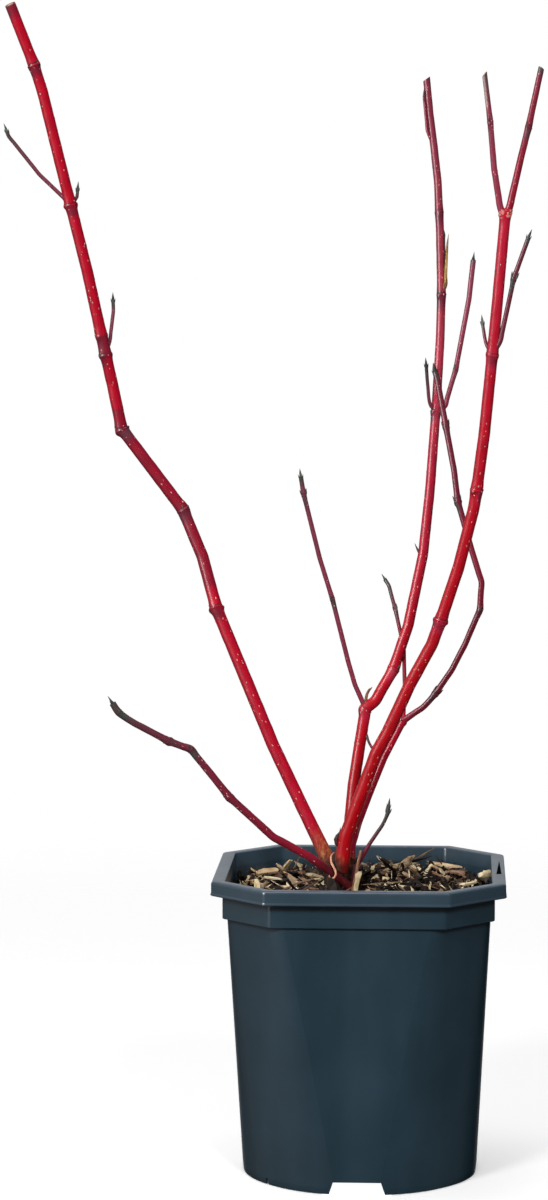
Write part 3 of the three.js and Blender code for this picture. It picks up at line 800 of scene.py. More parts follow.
# Most of these stretches were printed by a separate calculator, from points read off
# the photograph with guessed depths. They are not worked out here.
PLANS = (
    LimbPlan(
        "stem_front", (-13, -4, 198), (4.3, 3.4),
        (
            (24, 11, 322), (21, 21, 336), (38, 21, 338), (18, 29, 340), (34, 26, 337),
            (31, 30, 336), (18, 23, 327), (37, 21, 327), (39, 17, 324), (13, 13, 313),
            (37, 12, 307), (51, 10, 302), (35, 10, 300), (50, 9, 302), (6, 9, 302),
        ),
        (7, 10, 12), Tip.FORK, Wood.STEM, (0.0, 0.28), 15, tip_tone=(5, 0.2),
        cork_side=190, finish="rosy_sheen_bark",
    ),
    LimbPlan(
        "stem_left", (-17, 2, 193.5), (4.3, 3.55),
        (
            (22, 26, 166), (27, 28, 161), (45, 27, 164), (99, 24, 163), (35, 19, 146),
            (34, 24, 163), (67, 37, 183), (30, 12, 200), (21, 16, 224), (55, 14, 216),
            (46, 15, 209), (75, 15.5, 214), (18, 20, 215), (42, 23, 209),
        ),
        (4, 6, 7, 9, 11, 13), Tip.CUT, Wood.STEM, (0.16, 0.08), 36, (1.2, 250), (12, 0.6),
        worn=((205, 345, 0.26), (377, 395, 0.34)), rings=(393,),
    ),
    LimbPlan(
        "stem_middle", (-8.5, 9, 193), (4.1, 2.4),
        (
            (36, 9, 77), (23, 9, 57), (26, 11, 40), (25, 10, 25), (8, 51, 10), (15, 31, 16),
            (10, 31, 21), (30, 20, 23), (48, 15, 40), (42, 11, 58), (54, 10, 66), (49, 11, 74),
            (29, 9, 82), (44, 11, 98), (32, 11, 105), (25, 14, 117), (22, 16, 117), (26, 15, 112),
        ),
        (4, 7, 11, 13), Tip.CUT, Wood.STEM, (0.02, 0.9), 10, (3.0, 200), (5, 1.0),
        spurs=((222, 190, 25, 7.5),), rings=(450.6,), finish="flushed_sheen_bark",
    ),
    LimbPlan(
        "stem_old", (-7, 2, 195), (2.7, 2.3),
        ((19, 3, 0), (16, 16, 0), (21, 21, 8), (24, 22, 0), (28, 27, 0)),
        (5,), Tip.CUT, Wood.STEM, (0.4, 0.2), 14, tip_tone=(5, 0.25), bare=(27, 36, 320, 24),
        spurs=((105, 20, 8, 5.0),),
    ),
    LimbPlan(
        "branch_low", (-5.5, -8, 186), (2.8, 2.15),
        (
            (19, 51, 213), (20, 54, 202), (28, 60, 197), (40, 47, 196), (20, 38, 193),
            (20, 39, 189), (16, 68, 196), (26, 61, 198), (12, 54, 197), (7, 34, 199),
        ),
        (4, 6, 7, 9), Tip.BUD, Wood.STEM, (0.42, 0.88), 5, tip_tone=(5, 0.95),
    ),
    LimbPlan(
        "fork_left", ("stem_front", 14), (2.1, 1.6),
        ((9, 21, 195), (24, 13, 225), (29, 11, 242), (31, 11, 229)),
        (3,), Tip.CUT, Wood.STEM, (0.4, 0.7), 0, (3.0, 190), (20, 0.94), (70, 94, 222, 40),
        "fine_bark",
    ),
    LimbPlan(
        "fork_right", ("stem_front", 14), (2.3, 1.9),
        ((9, 20, 12), (32, 15, 32), (19, 17, 36), (39, 16, 42)),
        (3,), Tip.CUT, Wood.STEM, (0.42, 0.66), 0, (1.6, 20), (6, 1.0),
    ),
    LimbPlan(
        "branch_inner", ("stem_middle", 4), (1.6, 1.5),
        ((18, 25, 203), (16, 19, 215), (45, 18, 222), (29, 20, 215), (45, 20, 230), (12, 17, 240)),
        (3, 5), age=(0.5, 0.72), finish="fine_bark",
    ),
    LimbPlan(
        "branch_curved", ("stem_old", 5), (2.0, 1.95),
        (
            (16, 55, 356), (13, 41, 353), (18, 34, 354), (19, 27, 353), (25, 23, 348),
            (18, 3, 5), (24, 18, 164), (31, 17, 161), (20, 11, 130), (30, 16, 132),
            (31, 17, 129), (5, 20, 141),
        ),
        (2, 5, 8, 10), age=(0.5, 0.68), end_bud=(7.6, 1.6), wide_pairs=(2, 3),
    ),
    LimbPlan(
        "twig_old_stem", ("stem_old", 5), (1.35, 1.3),
        ((24, 36, 87), (31, 37, 93), (29, 34, 111), (19, 36, 115), (4, 41, 140)), (3,),
        age=(0.3, 0.66), tip_tone=(26, 1.0),
    ),
    LimbPlan(
        "sprout_tall", (-4.5, -7, 187), (1.5, 1.1),
        ((14, 14, 297), (19, 31, 335), (17, 35, 336), (9, 25, 331), (4, 9, 324)),
        (4,), age=(0.6, 0.85), cork=8, tip_tone=(30, 0.98),
    ),
    LimbPlan(
        "sprout_short", (-4.5, -12, 184), (1.3, 0.8), ((18, 12, 315), (12, 12, 337)),
        (), Tip.CUT, finish="tan_wood",
    ),
    LimbPlan(
        "twig_left_stem_top", ("stem_left", 11), (1.35, 1.25),
        ((10, 48, 203), (18, 47, 198), (32, 40, 203), (3, 21, 200)), age=(0.66, 0.9),
        finish="fine_bark",
    ),
    LimbPlan("spur_left_stem_top", ("stem_left", 11), (1.3, 1.0), ((6, 45, 20), (5, 12, 60))),
    LimbPlan(
        "twig_left_stem_middle", ("stem_left", 9), (1.25, 1.2),
        ((9, 22, 36), (20, 13, 63), (7, 9, 103)), finish="fine_bark",
    ),
    LimbPlan(
        "twig_front_stem_left", ("stem_front", 12), (1.15, 1.05),
        ((7, 38, 147), (10, 16, 137), (4, 14, 128)),
    ),
    LimbPlan(
        "twig_front_stem_right", ("stem_front", 12), (1.6, 1.45),
        ((10, 36, 325), (25, 15, 322), (16, 16, 315), (27, 22, 331)), (3,), age=(0.7, 0.74),
    ),
    LimbPlan(
        "twig_front_stem_low", ("stem_front", 3), (0.9, 0.8), ((9, 32, 170), (5, 18, 150)),
        (), Tip.CUT,
    ),
    LimbPlan(
        "twig_middle_stem_left", ("stem_middle", 11), (1.15, 1.15),
        ((6, 51, 219), (14, 15, 239), (13, 14, 252)), tip_tone=(16, 1.0), finish="fine_bark",
    ),
    LimbPlan(
        "twig_middle_stem_right", ("stem_middle", 11), (1.65, 1.8),
        ((7, 67, 26), (26, 20, 36), (48, 16, 50), (27, 14, 64)), (2,), age=(0.5, 0.6),
        tip_tone=(5, 0.9), finish="fine_bark",
    ),
    LimbPlan(
        "twig_middle_stem_back", ("stem_middle", 13), (1.3, 1.1),
        ((9, 40, 61), (32, 14, 104), (27, 14, 117), (9, 11, 115)), (2,),
    ),
    LimbPlan(
        "snag_middle_stem_top", ("stem_middle", 13), (1.2, 0.7), ((8, 22, 330), (33, 5, 60)),
        (), Tip.CUT, slant=(9, 200), finish="dead_wood",
    ),
    LimbPlan(
        "snag_middle_stem_fork", ("stem_middle", 4), (1.2, 0.8), ((10, 14, 290), (7, 32, 335)),
        (), Tip.CUT, slant=(3, 160), finish="tan_wood",
    ),
    LimbPlan(
        "sliver_middle_stem_top", ("stem_middle", 16), (1.1, 0.8), ((11, 24, 178), (29, 15, 114)),
        (), Tip.CUT, age=(0.5, 0.66), slant=(6, 200),
    ),
)


@dataclass
class Line:
    """A smooth line through joints, measured along its length."""

    points: np.ndarray
    lengths: np.ndarray

    @classmethod
    def through(cls, joints: np.ndarray, steps: int = 60) -> "Line":
        """Draws the centripetal Catmull-Rom line through the joints.

        Args:
            joints: The joints in mm, shaped (joints, 3).
            steps: How many points each stretch gets.

        Returns:
            The line.
        """
        ends = np.concatenate([[2 * joints[0] - joints[1]], joints, [2 * joints[-1] - joints[-2]]])
        share = np.linspace(0, 1, steps, endpoint=False)[:, None]
        points = []
        for before, here, there, after in zip(ends, ends[1:], ends[2:], ends[3:]):
            first, middle, last = (
                np.linalg.norm(b - a) ** 0.5 for a, b in ((before, here), (here, there), (there, after))
            )
            onward = (there - here) / middle
            leave = (here - before) / first - (there - before) / (first + middle) + onward
            arrive = onward - (after - here) / (middle + last) + (after - there) / last
            leave, arrive = leave * middle, arrive * middle
            square = -3 * here + 3 * there - 2 * leave - arrive
            cube = 2 * here - 2 * there + leave + arrive
            points.append(here + leave * share + square * share**2 + cube * share**3)
        line = np.concatenate([*points, joints[-1:]])
        steps_long = np.linalg.norm(np.diff(line, axis=0), axis=1)
        return cls(line, np.concatenate([[0], np.cumsum(steps_long)]))

    @property
    def total(self) -> float:
        """The whole length in mm."""
        return float(self.lengths[-1])

    def place(self, at: np.ndarray | float) -> np.ndarray:
        """The points at some distances along the line."""
        return np.stack([np.interp(at, self.lengths, self.points[:, k]) for k in range(3)], axis=-1)

    def direction(self, at: np.ndarray | float) -> np.ndarray:
        """The line's direction at some distances."""
        step = 0.6
        ahead = np.minimum(np.asarray(at, float) + step, self.total)
        behind = np.maximum(np.asarray(at, float) - step, 0)
        way = self.place(ahead) - self.place(behind)
        return way / np.linalg.norm(way, axis=-1, keepdims=True)


def line_points(joints: np.ndarray, bend: float = 6.0, straight_from: float = 15.0) -> np.ndarray:
    """Adds two points to each long stretch, between which it runs straight.

    Args:
        joints: The joints in mm, shaped (joints, 3).
        bend: How near to its joints a line bends.
        straight_from: How long a stretch is that has a straight middle.

    Returns:
        The joints with the added points.
    """
    points = [joints[0]]
    for here, there in zip(joints, joints[1:]):
        length = float(np.linalg.norm(there - here))
        if length >= straight_from:
            step = (there - here) * bend / length
            points += [here + step, there - step]
        points.append(there)
    return np.array(points)


def heading_vector(lean: float, heading: float) -> np.ndarray:
    """The unit vector with a lean from upright and a heading from +X, in degrees."""
    a, h = math.radians(lean), math.radians(heading)
    return np.array([math.sin(a) * math.cos(h), math.sin(a) * math.sin(h), math.cos(a)])


@dataclass
class SmallShapes:
    """The small shapes that sit on limbs: buds, and the raised pores in the bark."""

    bud_rows: tuple[tuple[float, float, float], ...] = (
        (-0.12, 0.6, 0.55), (0.04, 0.86, 0.76), (0.2, 1.0, 0.84), (0.4, 0.92, 0.76),
        (0.62, 0.64, 0.54), (0.82, 0.34, 0.3), (0.94, 0.17, 0.15), (1.0, 0.05, 0.05),
    )
    bud_sides: int = 10
    pore_rows: tuple[tuple[float, float, float], ...] = (
        (-0.6, 0.7, 0.7), (0.0, 1.0, 1.0), (0.62, 0.62, 0.66), (0.9, 0.16, 0.2),
    )
    pore_sides: int = 6

    def __post_init__(self) -> None:
        """Models both shapes."""
        self.bud = ring_template("bud_shape", self.bud_rows, self.bud_sides)
        self.pore = ring_template("pore_shape", self.pore_rows, self.pore_sides)


@dataclass
class Limb:
    """One stem, bough or twig, with its nodes, buds, pores and tip."""

    plan: LimbPlan
    shapes: SmallShapes
    buds: Heap
    pores: Heap
    joints: np.ndarray
    seed: int
    children: list[np.ndarray] = field(default_factory=list)
    ring_step: float = 1.6
    node_offsets: tuple[float, ...] = (-3.2, -2.2, -1.4, -0.8, -0.35, 0, 0.35, 0.8, 1.4, 2.2, 3.2)
    swell: float = 0.11
    swell_spread: float = 4.2
    ridge: float = 0.085
    ridge_spread: float = 0.6
    pad: float = 0.23
    flare: float = 0.3
    flare_length: float = 16
    collar: float = 0.2
    side_bud: tuple[float, float] = (4.6, 0.9)
    pores_per_mm: float = 0.45
    fork_swell: float = 0.2
    callus_lumps: int = 34
    dark_foot_height: float = 208
    foot_darkening: float = 0.75
    unevenness: float = 0.022
    cork_relief: float = 0.05
    bare_depth: float = 0.22
    side_angles: tuple[float, float] = (1.9, 0.35)
    bud_seat: float = 0.8
    bud_sunk: float = 0.3
    bud_splay: float = 0.24
    bud_growth: tuple[float, float] = (0.75, 1.05)
    stout_bud: float = 0.85
    spur_half_width: float = 0.9
    end_bud_sunk: float = 1.0
    small_bud: tuple[float, float] = (3.2, 0.5)
    small_bud_seat: float = 0.7
    small_bud_sunk: float = 1.2
    small_bud_splay: float = 0.22
    callus_spread: float = 2.2
    cut_steps: tuple[tuple[float, float, int], ...] = ((0.12, 0.0, 1), (0.3, 0.04, 2), (0.2, -0.25, 2))
    pore_length: tuple[float, float] = (0.3, 0.75)
    pore_width: tuple[float, float] = (0.42, 0.62)
    pore_rise: float = 0.11

    def __post_init__(self) -> None:
        """Measures the limb's line."""
        self.line = Line.through(line_points(self.joints))
        lengths = np.array([length for length, _, _ in self.plan.reach])
        drawn = lengths.sum()
        self.node_places = [lengths[:count].sum() / drawn * self.line.total for count in self.plan.nodes]
        self.node_places += self.plan.rings
        self.stout = self.plan.radii[0] > 2
        self.sides = 28 if self.plan.radii[0] > 2.5 else 16
        self.random = np.random.default_rng(self.seed)

    def stations(self) -> np.ndarray:
        """Distances of the rings: even steps, and closer ones at each node."""
        total = self.line.total
        even = np.linspace(0, total, max(6, int(total / self.ring_step)))
        near = [at + offset for at in self.node_places for offset in self.node_offsets]
        every = np.sort(np.concatenate([even, near]))
        every = every[(every >= 0) & (every <= total)]
        kept = [0.0]
        for at in every:
            if at - kept[-1] > 0.3:
                kept.append(float(at))
        kept[-1] = total
        return np.array(kept)

    def frames(self, stations: np.ndarray) -> tuple[np.ndarray, np.ndarray, np.ndarray]:
        """The line's direction and two directions across it, at each station."""
        tangents = self.line.direction(stations)
        across = np.zeros_like(tangents)
        last = np.array([0.0, 1.0, 0.0])
        for row, tangent in enumerate(tangents):
            last = last - tangent * (last @ tangent)
            last = last / np.linalg.norm(last)
            across[row] = last
        return tangents, across, np.cross(tangents, across)

    def pair_axis(self, index: int) -> np.ndarray:
        """The direction in which a node's two buds or branches stand out."""
        at = self.node_places[index]
        tangent = self.line.direction(at)
        for child in self.children_at(index):
            side = child - tangent * (child @ tangent)
            return side / np.linalg.norm(side)
        level = np.cross([0.0, 0.0, 1.0], tangent)
        level = level / np.linalg.norm(level)
        if index in self.plan.wide_pairs:
            return np.array([1.0, 0.0, 0.0]) - tangent * tangent[0]
        angle = self.side_angles[index % 2]
        return level * math.cos(angle) + np.cross(tangent, level) * math.sin(angle)

    def children_at(self, index: int) -> list[np.ndarray]:
        """The first directions of the limbs that spring from a node."""
        if index >= len(self.plan.nodes):
            return []
        stretch = self.plan.nodes[index]
        return [direction for joint, direction in self.children if joint == stretch]

    def radius(self, at: np.ndarray) -> np.ndarray:
        """The limb's radius without its nodes' ridges and pads."""
        foot, tip = self.plan.radii
        taper = foot + (tip - foot) * at / self.line.total
        knots = sum(np.exp(-(((at - node) / self.swell_spread) ** 2)) for node in self.node_places)
        if isinstance(self.plan.root[0], str):
            widened = self.collar * np.exp(-at / (2.2 * foot))
        else:
            widened = self.flare * np.exp(-at / self.flare_length)
        if self.plan.tip is Tip.FORK:
            widened = widened + self.fork_swell * np.exp(-(((at - self.line.total + 2) / 3.5) ** 2))
        return taper * (1 + self.swell * knots + widened)

    def surface(self, stations: np.ndarray) -> tuple[np.ndarray, np.ndarray, dict[str, np.ndarray]]:
        """Works out the limb's rings.

        Args:
            stations: Distances of the rings.

        Returns:
            The rings' points, their centres, and the age, cork, scar and bareness of each point.
        """
        tangents, across, along = self.frames(stations)
        angles = np.linspace(0, 2 * math.pi, self.sides, endpoint=False)
        spokes = (
            across[:, None, :] * np.cos(angles)[None, :, None]
            + along[:, None, :] * np.sin(angles)[None, :, None]
        )
        centres = self.line.place(stations)
        at = stations[:, None]
        radius = self.radius(at) * (1 + self.unevenness * ripple(self.seed, at, angles, 14))
        cork = np.clip(1.15 - at / max(self.plan.cork, 1e-6), 0, 1) if self.plan.cork else 0 * at
        cork = np.broadcast_to(cork, (len(stations), self.sides)).copy()
        if self.plan.cork_side is not None:
            cork *= np.clip(0.45 + 0.9 * (spokes @ heading_vector(90, self.plan.cork_side)), 0, 1)
        radius = radius * (1 + self.cork_relief * cork * ripple(self.seed + 7, at, angles, 5))
        scar = np.zeros((len(stations), self.sides))
        stained = np.zeros_like(scar)
        for index, node in enumerate(self.node_places):
            axis = self.pair_axis(index)
            row = int(np.argmin(np.abs(stations - node)))
            turn = math.atan2(axis @ along[row], axis @ across[row])
            facing = np.abs(np.cos(angles - turn))
            random = np.random.default_rng(self.seed + 101 * index)
            phase = random.uniform(0, 2 * math.pi)
            lobe = random.uniform(0, 2 * math.pi)
            worn = random.uniform(0.5, 1.2)
            level = at - node + 0.45 * np.sin(angles + phase)
            patchy = np.clip(0.62 + 0.5 * np.cos(angles - lobe) + 0.25 * np.cos(3 * angles + phase), 0, 1)
            ring = np.exp(-((level / self.ridge_spread) ** 2)) * (0.5 + 0.5 * patchy)
            below = np.exp(-(((level + 1.3) / 1.3) ** 2))
            groove = np.exp(-(((level - 1.0) / 0.45) ** 2)) * patchy
            foot = float(self.radius(np.array(node)))
            radius = radius + foot * worn * (self.ridge * ring - 0.03 * groove + self.pad * below * facing**6)
            scar += worn * (0.95 * groove + 0.85 * np.exp(-(((level + 0.9) / 0.6) ** 2)) * facing**3)
            stained += 0.42 * worn * np.exp(-(((level + 4) / 5) ** 2)) * patchy
        for start, end, darker in self.plan.worn:
            stained += darker * np.clip((at - start) / 3, 0, 1) * np.clip((end - at) / 3, 0, 1)
        # The bark turns darker towards each limb's foot.
        scar += self.foot_darkening * np.clip((self.dark_foot_height - centres[:, 2:]) / 6, 0, 1)
        bare = np.zeros_like(scar)
        if self.plan.bare:
            start, end, heading, half = self.plan.bare
            turned = np.clip((spokes @ heading_vector(90, heading) - math.cos(math.radians(half))) * 5, 0, 1)
            bare = turned * np.clip((at - start) / 1.5, 0, 1) * np.clip((end - at) / 1.5, 0, 1)
            radius = radius * (1 - self.bare_depth * bare)
        if self.plan.tip is Tip.CUT:
            depth, heading = self.plan.slant
            low = heading_vector(90, heading)
            lean = (spokes @ low + 1) / 2 * depth
            zone = max(depth * 1.6, 4.0)
            drop = lean * np.clip((at - self.line.total + zone) / zone, 0, 1)
        else:
            drop = 0 * scar
        points = centres[:, None, :] + spokes * radius[:, :, None] - tangents[:, None, :] * drop[:, :, None]
        low_age, high_age = self.plan.age
        age = low_age + (high_age - low_age) * (at / self.line.total) ** 1.6 + stained
        zone, tone = self.plan.tip_tone
        age = age + (tone - age) * np.clip((at - self.line.total + zone) / zone, 0, 1) ** 0.6
        return points, centres, {"age": age, "cork": cork, "scar": np.clip(scar, 0, 1), "bare": bare}

    def build(self, finishes: dict[str, bpy.types.Material]) -> bpy.types.Object:
        """Models the limb with all that sits on it.

        Args:
            finishes: The materials by name.

        Returns:
            One piece in place of the limb's solid.
        """
        stations = self.stations()
        points, centres, marks = self.surface(stations)
        ends = [np.repeat(centres[:1, None, :], self.sides, axis=1), points]
        spans = [stations[:1], stations]
        rows = [0, *range(len(stations))]
        if self.plan.tip is not Tip.CUT:
            domed = self.plan.radii[1] * 0.45 if self.plan.tip is Tip.FORK else 0.0
            point = centres[-1:] + self.line.direction(stations[-1:]) * domed
            ends.append(np.repeat(point[:, None, :], self.sides, axis=1))
            spans.append(stations[-1:])
            rows.append(len(stations) - 1)
        body = wrap_grid(
            self.plan.name + "_bark", np.concatenate(ends), np.concatenate(spans),
            {key: value[rows] for key, value in marks.items()},
        )
        for material in (finishes[self.plan.finish], finishes["cut_wood"], finishes["pith"]):
            body.data.materials.append(material)
        if self.plan.tip is Tip.CUT:
            self.close_cut(body)
        face_outwards(body)
        smooth(body, 60)
        self.add_buds()
        if self.plan.finish.endswith("bark"):
            self.add_pores(stations, points, marks["scar"] + marks["bare"])
        if self.plan.tip is Tip.FORK:
            self.add_callus(stations, points)
        return body

    def close_cut(self, body: bpy.types.Object) -> None:
        """Closes the cut end: a rim of bark, a ring of wood and a sunken core of pith."""
        thick = self.plan.radii[1]
        edit(body, "EDGE", lambda edge: edge.is_boundary)
        bpy.ops.mesh.edge_face_add()
        for inset, raised, slot in self.cut_steps:
            bpy.ops.mesh.inset(thickness=inset * thick * MM, depth=raised * MM)
            for face in bmesh.from_edit_mesh(body.data).faces:
                if face.select:
                    face.material_index = slot
            bmesh.update_edit_mesh(body.data)
        bpy.ops.mesh.poke()
        leave_edit()

    def add_bud(
        self, place: np.ndarray, direction: np.ndarray, side: np.ndarray, size: tuple[float, float]
    ) -> None:
        """Adds one bud that stands at a place and points along a direction.

        Args:
            place: The bud's foot in mm.
            direction: Where it points.
            side: Its wider side.
            size: Its length and its half-width.
        """
        length, width = size
        scaled = self.shapes.bud.points * (width, width, length)
        tip = np.clip(scaled[:, 2:] / length, 0, 1)
        bent = scaled + np.array([[0.35 * width, 0, 0]]) * tip**2 * self.random.uniform(-1, 1)
        placed = aligned(bent, direction, side, place)
        self.buds.add(self.shapes.bud, placed, 0, self.random.uniform(0, 0.2))

    def add_buds(self) -> None:
        """Adds the pairs of side buds at the nodes, and the end bud with its two small ones."""
        for index, node in enumerate(self.node_places[:len(self.plan.nodes)]):
            if node > self.line.total - 1:
                continue
            tangent = self.line.direction(node)
            axis = self.pair_axis(index)
            radius = float(self.radius(np.array(node)))
            for way in (1, -1):
                side = axis * way
                taken = any(
                    (child - tangent * (child @ tangent)) @ side > 0.15 for child in self.children_at(index)
                )
                if taken:
                    continue
                grown = self.random.uniform(*self.bud_growth) * (self.stout_bud if self.stout else 1.0)
                root = self.line.place(node) + side * radius * self.bud_seat - tangent * self.bud_sunk
                size = (self.side_bud[0] * grown, self.side_bud[1] * grown)
                self.add_bud(root, tangent + side * self.bud_splay, np.cross(side, tangent), size)
        for at, heading, lean, length in self.plan.spurs:
            level = heading_vector(90, heading)
            root = self.line.place(at) + level * float(self.radius(np.array(at))) * self.bud_seat
            size = (length, self.spur_half_width)
            self.add_bud(root, heading_vector(lean, heading), np.cross(level, [0, 0, 1]), size)
        if self.plan.tip is Tip.BUD:
            tangent = self.line.direction(self.line.total)
            side = np.array([1.0, 0.2, 0.0])
            if self.node_places:
                side = self.pair_axis(len(self.node_places) - 1)
            tip = self.line.place(self.line.total)
            self.add_bud(tip - tangent * self.end_bud_sunk, tangent, side, self.plan.end_bud)
            for way in (1, -1):
                out = side * way * self.plan.radii[1] * self.small_bud_seat
                root = tip + out - tangent * self.small_bud_sunk
                direction = tangent + side * way * self.small_bud_splay
                self.add_bud(root, direction, np.cross(side, tangent), self.small_bud)

    def add_callus(self, stations: np.ndarray, points: np.ndarray) -> None:
        """Adds the knobbly pale bark that has grown over the scar of a fork.

        Args:
            stations: Distances of the limb's rings.
            points: The rings' points.
        """
        centres = points.mean(axis=1)
        for _ in range(self.callus_lumps):
            back = abs(self.random.normal(0, self.callus_spread))
            row = int(np.argmin(np.abs(stations - self.line.total + back)))
            spot = points[row, int(self.random.integers(0, self.sides))]
            outward = spot - centres[row] + self.line.direction(stations[row]) * 0.8
            outward = outward / np.linalg.norm(outward)
            size = self.random.uniform(0.5, 1.2)
            lump = self.shapes.pore.points * (size, size * self.random.uniform(0.7, 1.6), 0.5 * size)
            way = self.random.normal(0, 1, 3)
            self.pores.add(self.shapes.pore, aligned(lump, outward, np.cross(way, outward), spot), 1, 0.1)

    def add_pores(self, stations: np.ndarray, points: np.ndarray, scar: np.ndarray) -> None:
        """Adds pale, slightly raised pores, longer along the limb than across.

        Args:
            stations: Distances of the limb's rings.
            points: The rings' points.
            scar: How far each point is scarred or bare, where no pores are.
        """
        centres = points.mean(axis=1)
        count = int(self.line.total * self.pores_per_mm * (1.0 if self.stout else 0.5))
        for _ in range(count):
            row = int(self.random.integers(2, len(stations) - 3))
            column = int(self.random.integers(0, self.sides))
            if scar[row, column] > 0.05 or stations[row] > self.line.total - self.plan.slant[0] - 3:
                continue
            spot = points[row, column]
            outward = spot - centres[row]
            girth = np.linalg.norm(outward)
            upward = centres[row + 1] - centres[row]
            long = self.random.uniform(*self.pore_length) * min(1.2, 0.45 + girth / 4.5)
            wide = long * self.random.uniform(*self.pore_width)
            lens = self.shapes.pore.points * (wide, long, self.pore_rise)
            placed = aligned(lens, outward / girth, np.cross(upward, outward), spot)
            self.pores.add(self.shapes.pore, placed, 0, self.random.uniform(0, 0.2))


@dataclass
class Shrub:
    """All the limbs, grown from each other in order."""

    finishes: dict[str, bpy.types.Material]
    first_seed: int = 11

    def grow(self) -> list[Limb]:
        """Works out every limb's joints and which limbs spring from its nodes."""
        shapes = SmallShapes()
        self.buds, self.pores = Heap(), Heap()
        limbs: dict[str, Limb] = {}
        for number, plan in enumerate(PLANS):
            parent, place = plan.root[0], plan.root[1]
            rooted = isinstance(parent, str)
            foot = limbs[parent].joints[place] if rooted else np.array(plan.root, float)
            joints = [foot]
            for length, lean, heading in plan.reach:
                joints.append(joints[-1] + heading_vector(lean, heading) * length)
            seed = self.first_seed + 13 * number
            limbs[plan.name] = Limb(plan, shapes, self.buds, self.pores, np.array(joints), seed)
            if rooted:
                limbs[parent].children.append((place, heading_vector(*plan.reach[0][1:])))
        return list(limbs.values())

    def build(self) -> None:
        """Models every limb, then all the buds and all the pores, and hands them over."""
        for limb in self.grow():
            piece = limb.build(self.finishes)
            hand_over(piece, limb.plan.wood.value, limb.plan.name)
        hand_over(self.buds.build("winter_buds", [self.finishes["bud"]]), Wood.TWIG.value)
        pores = self.pores.build("bark_pores", [self.finishes["pore"], self.finishes["callus"]])
        hand_over(pores, Wood.STEM.value)


# Pot


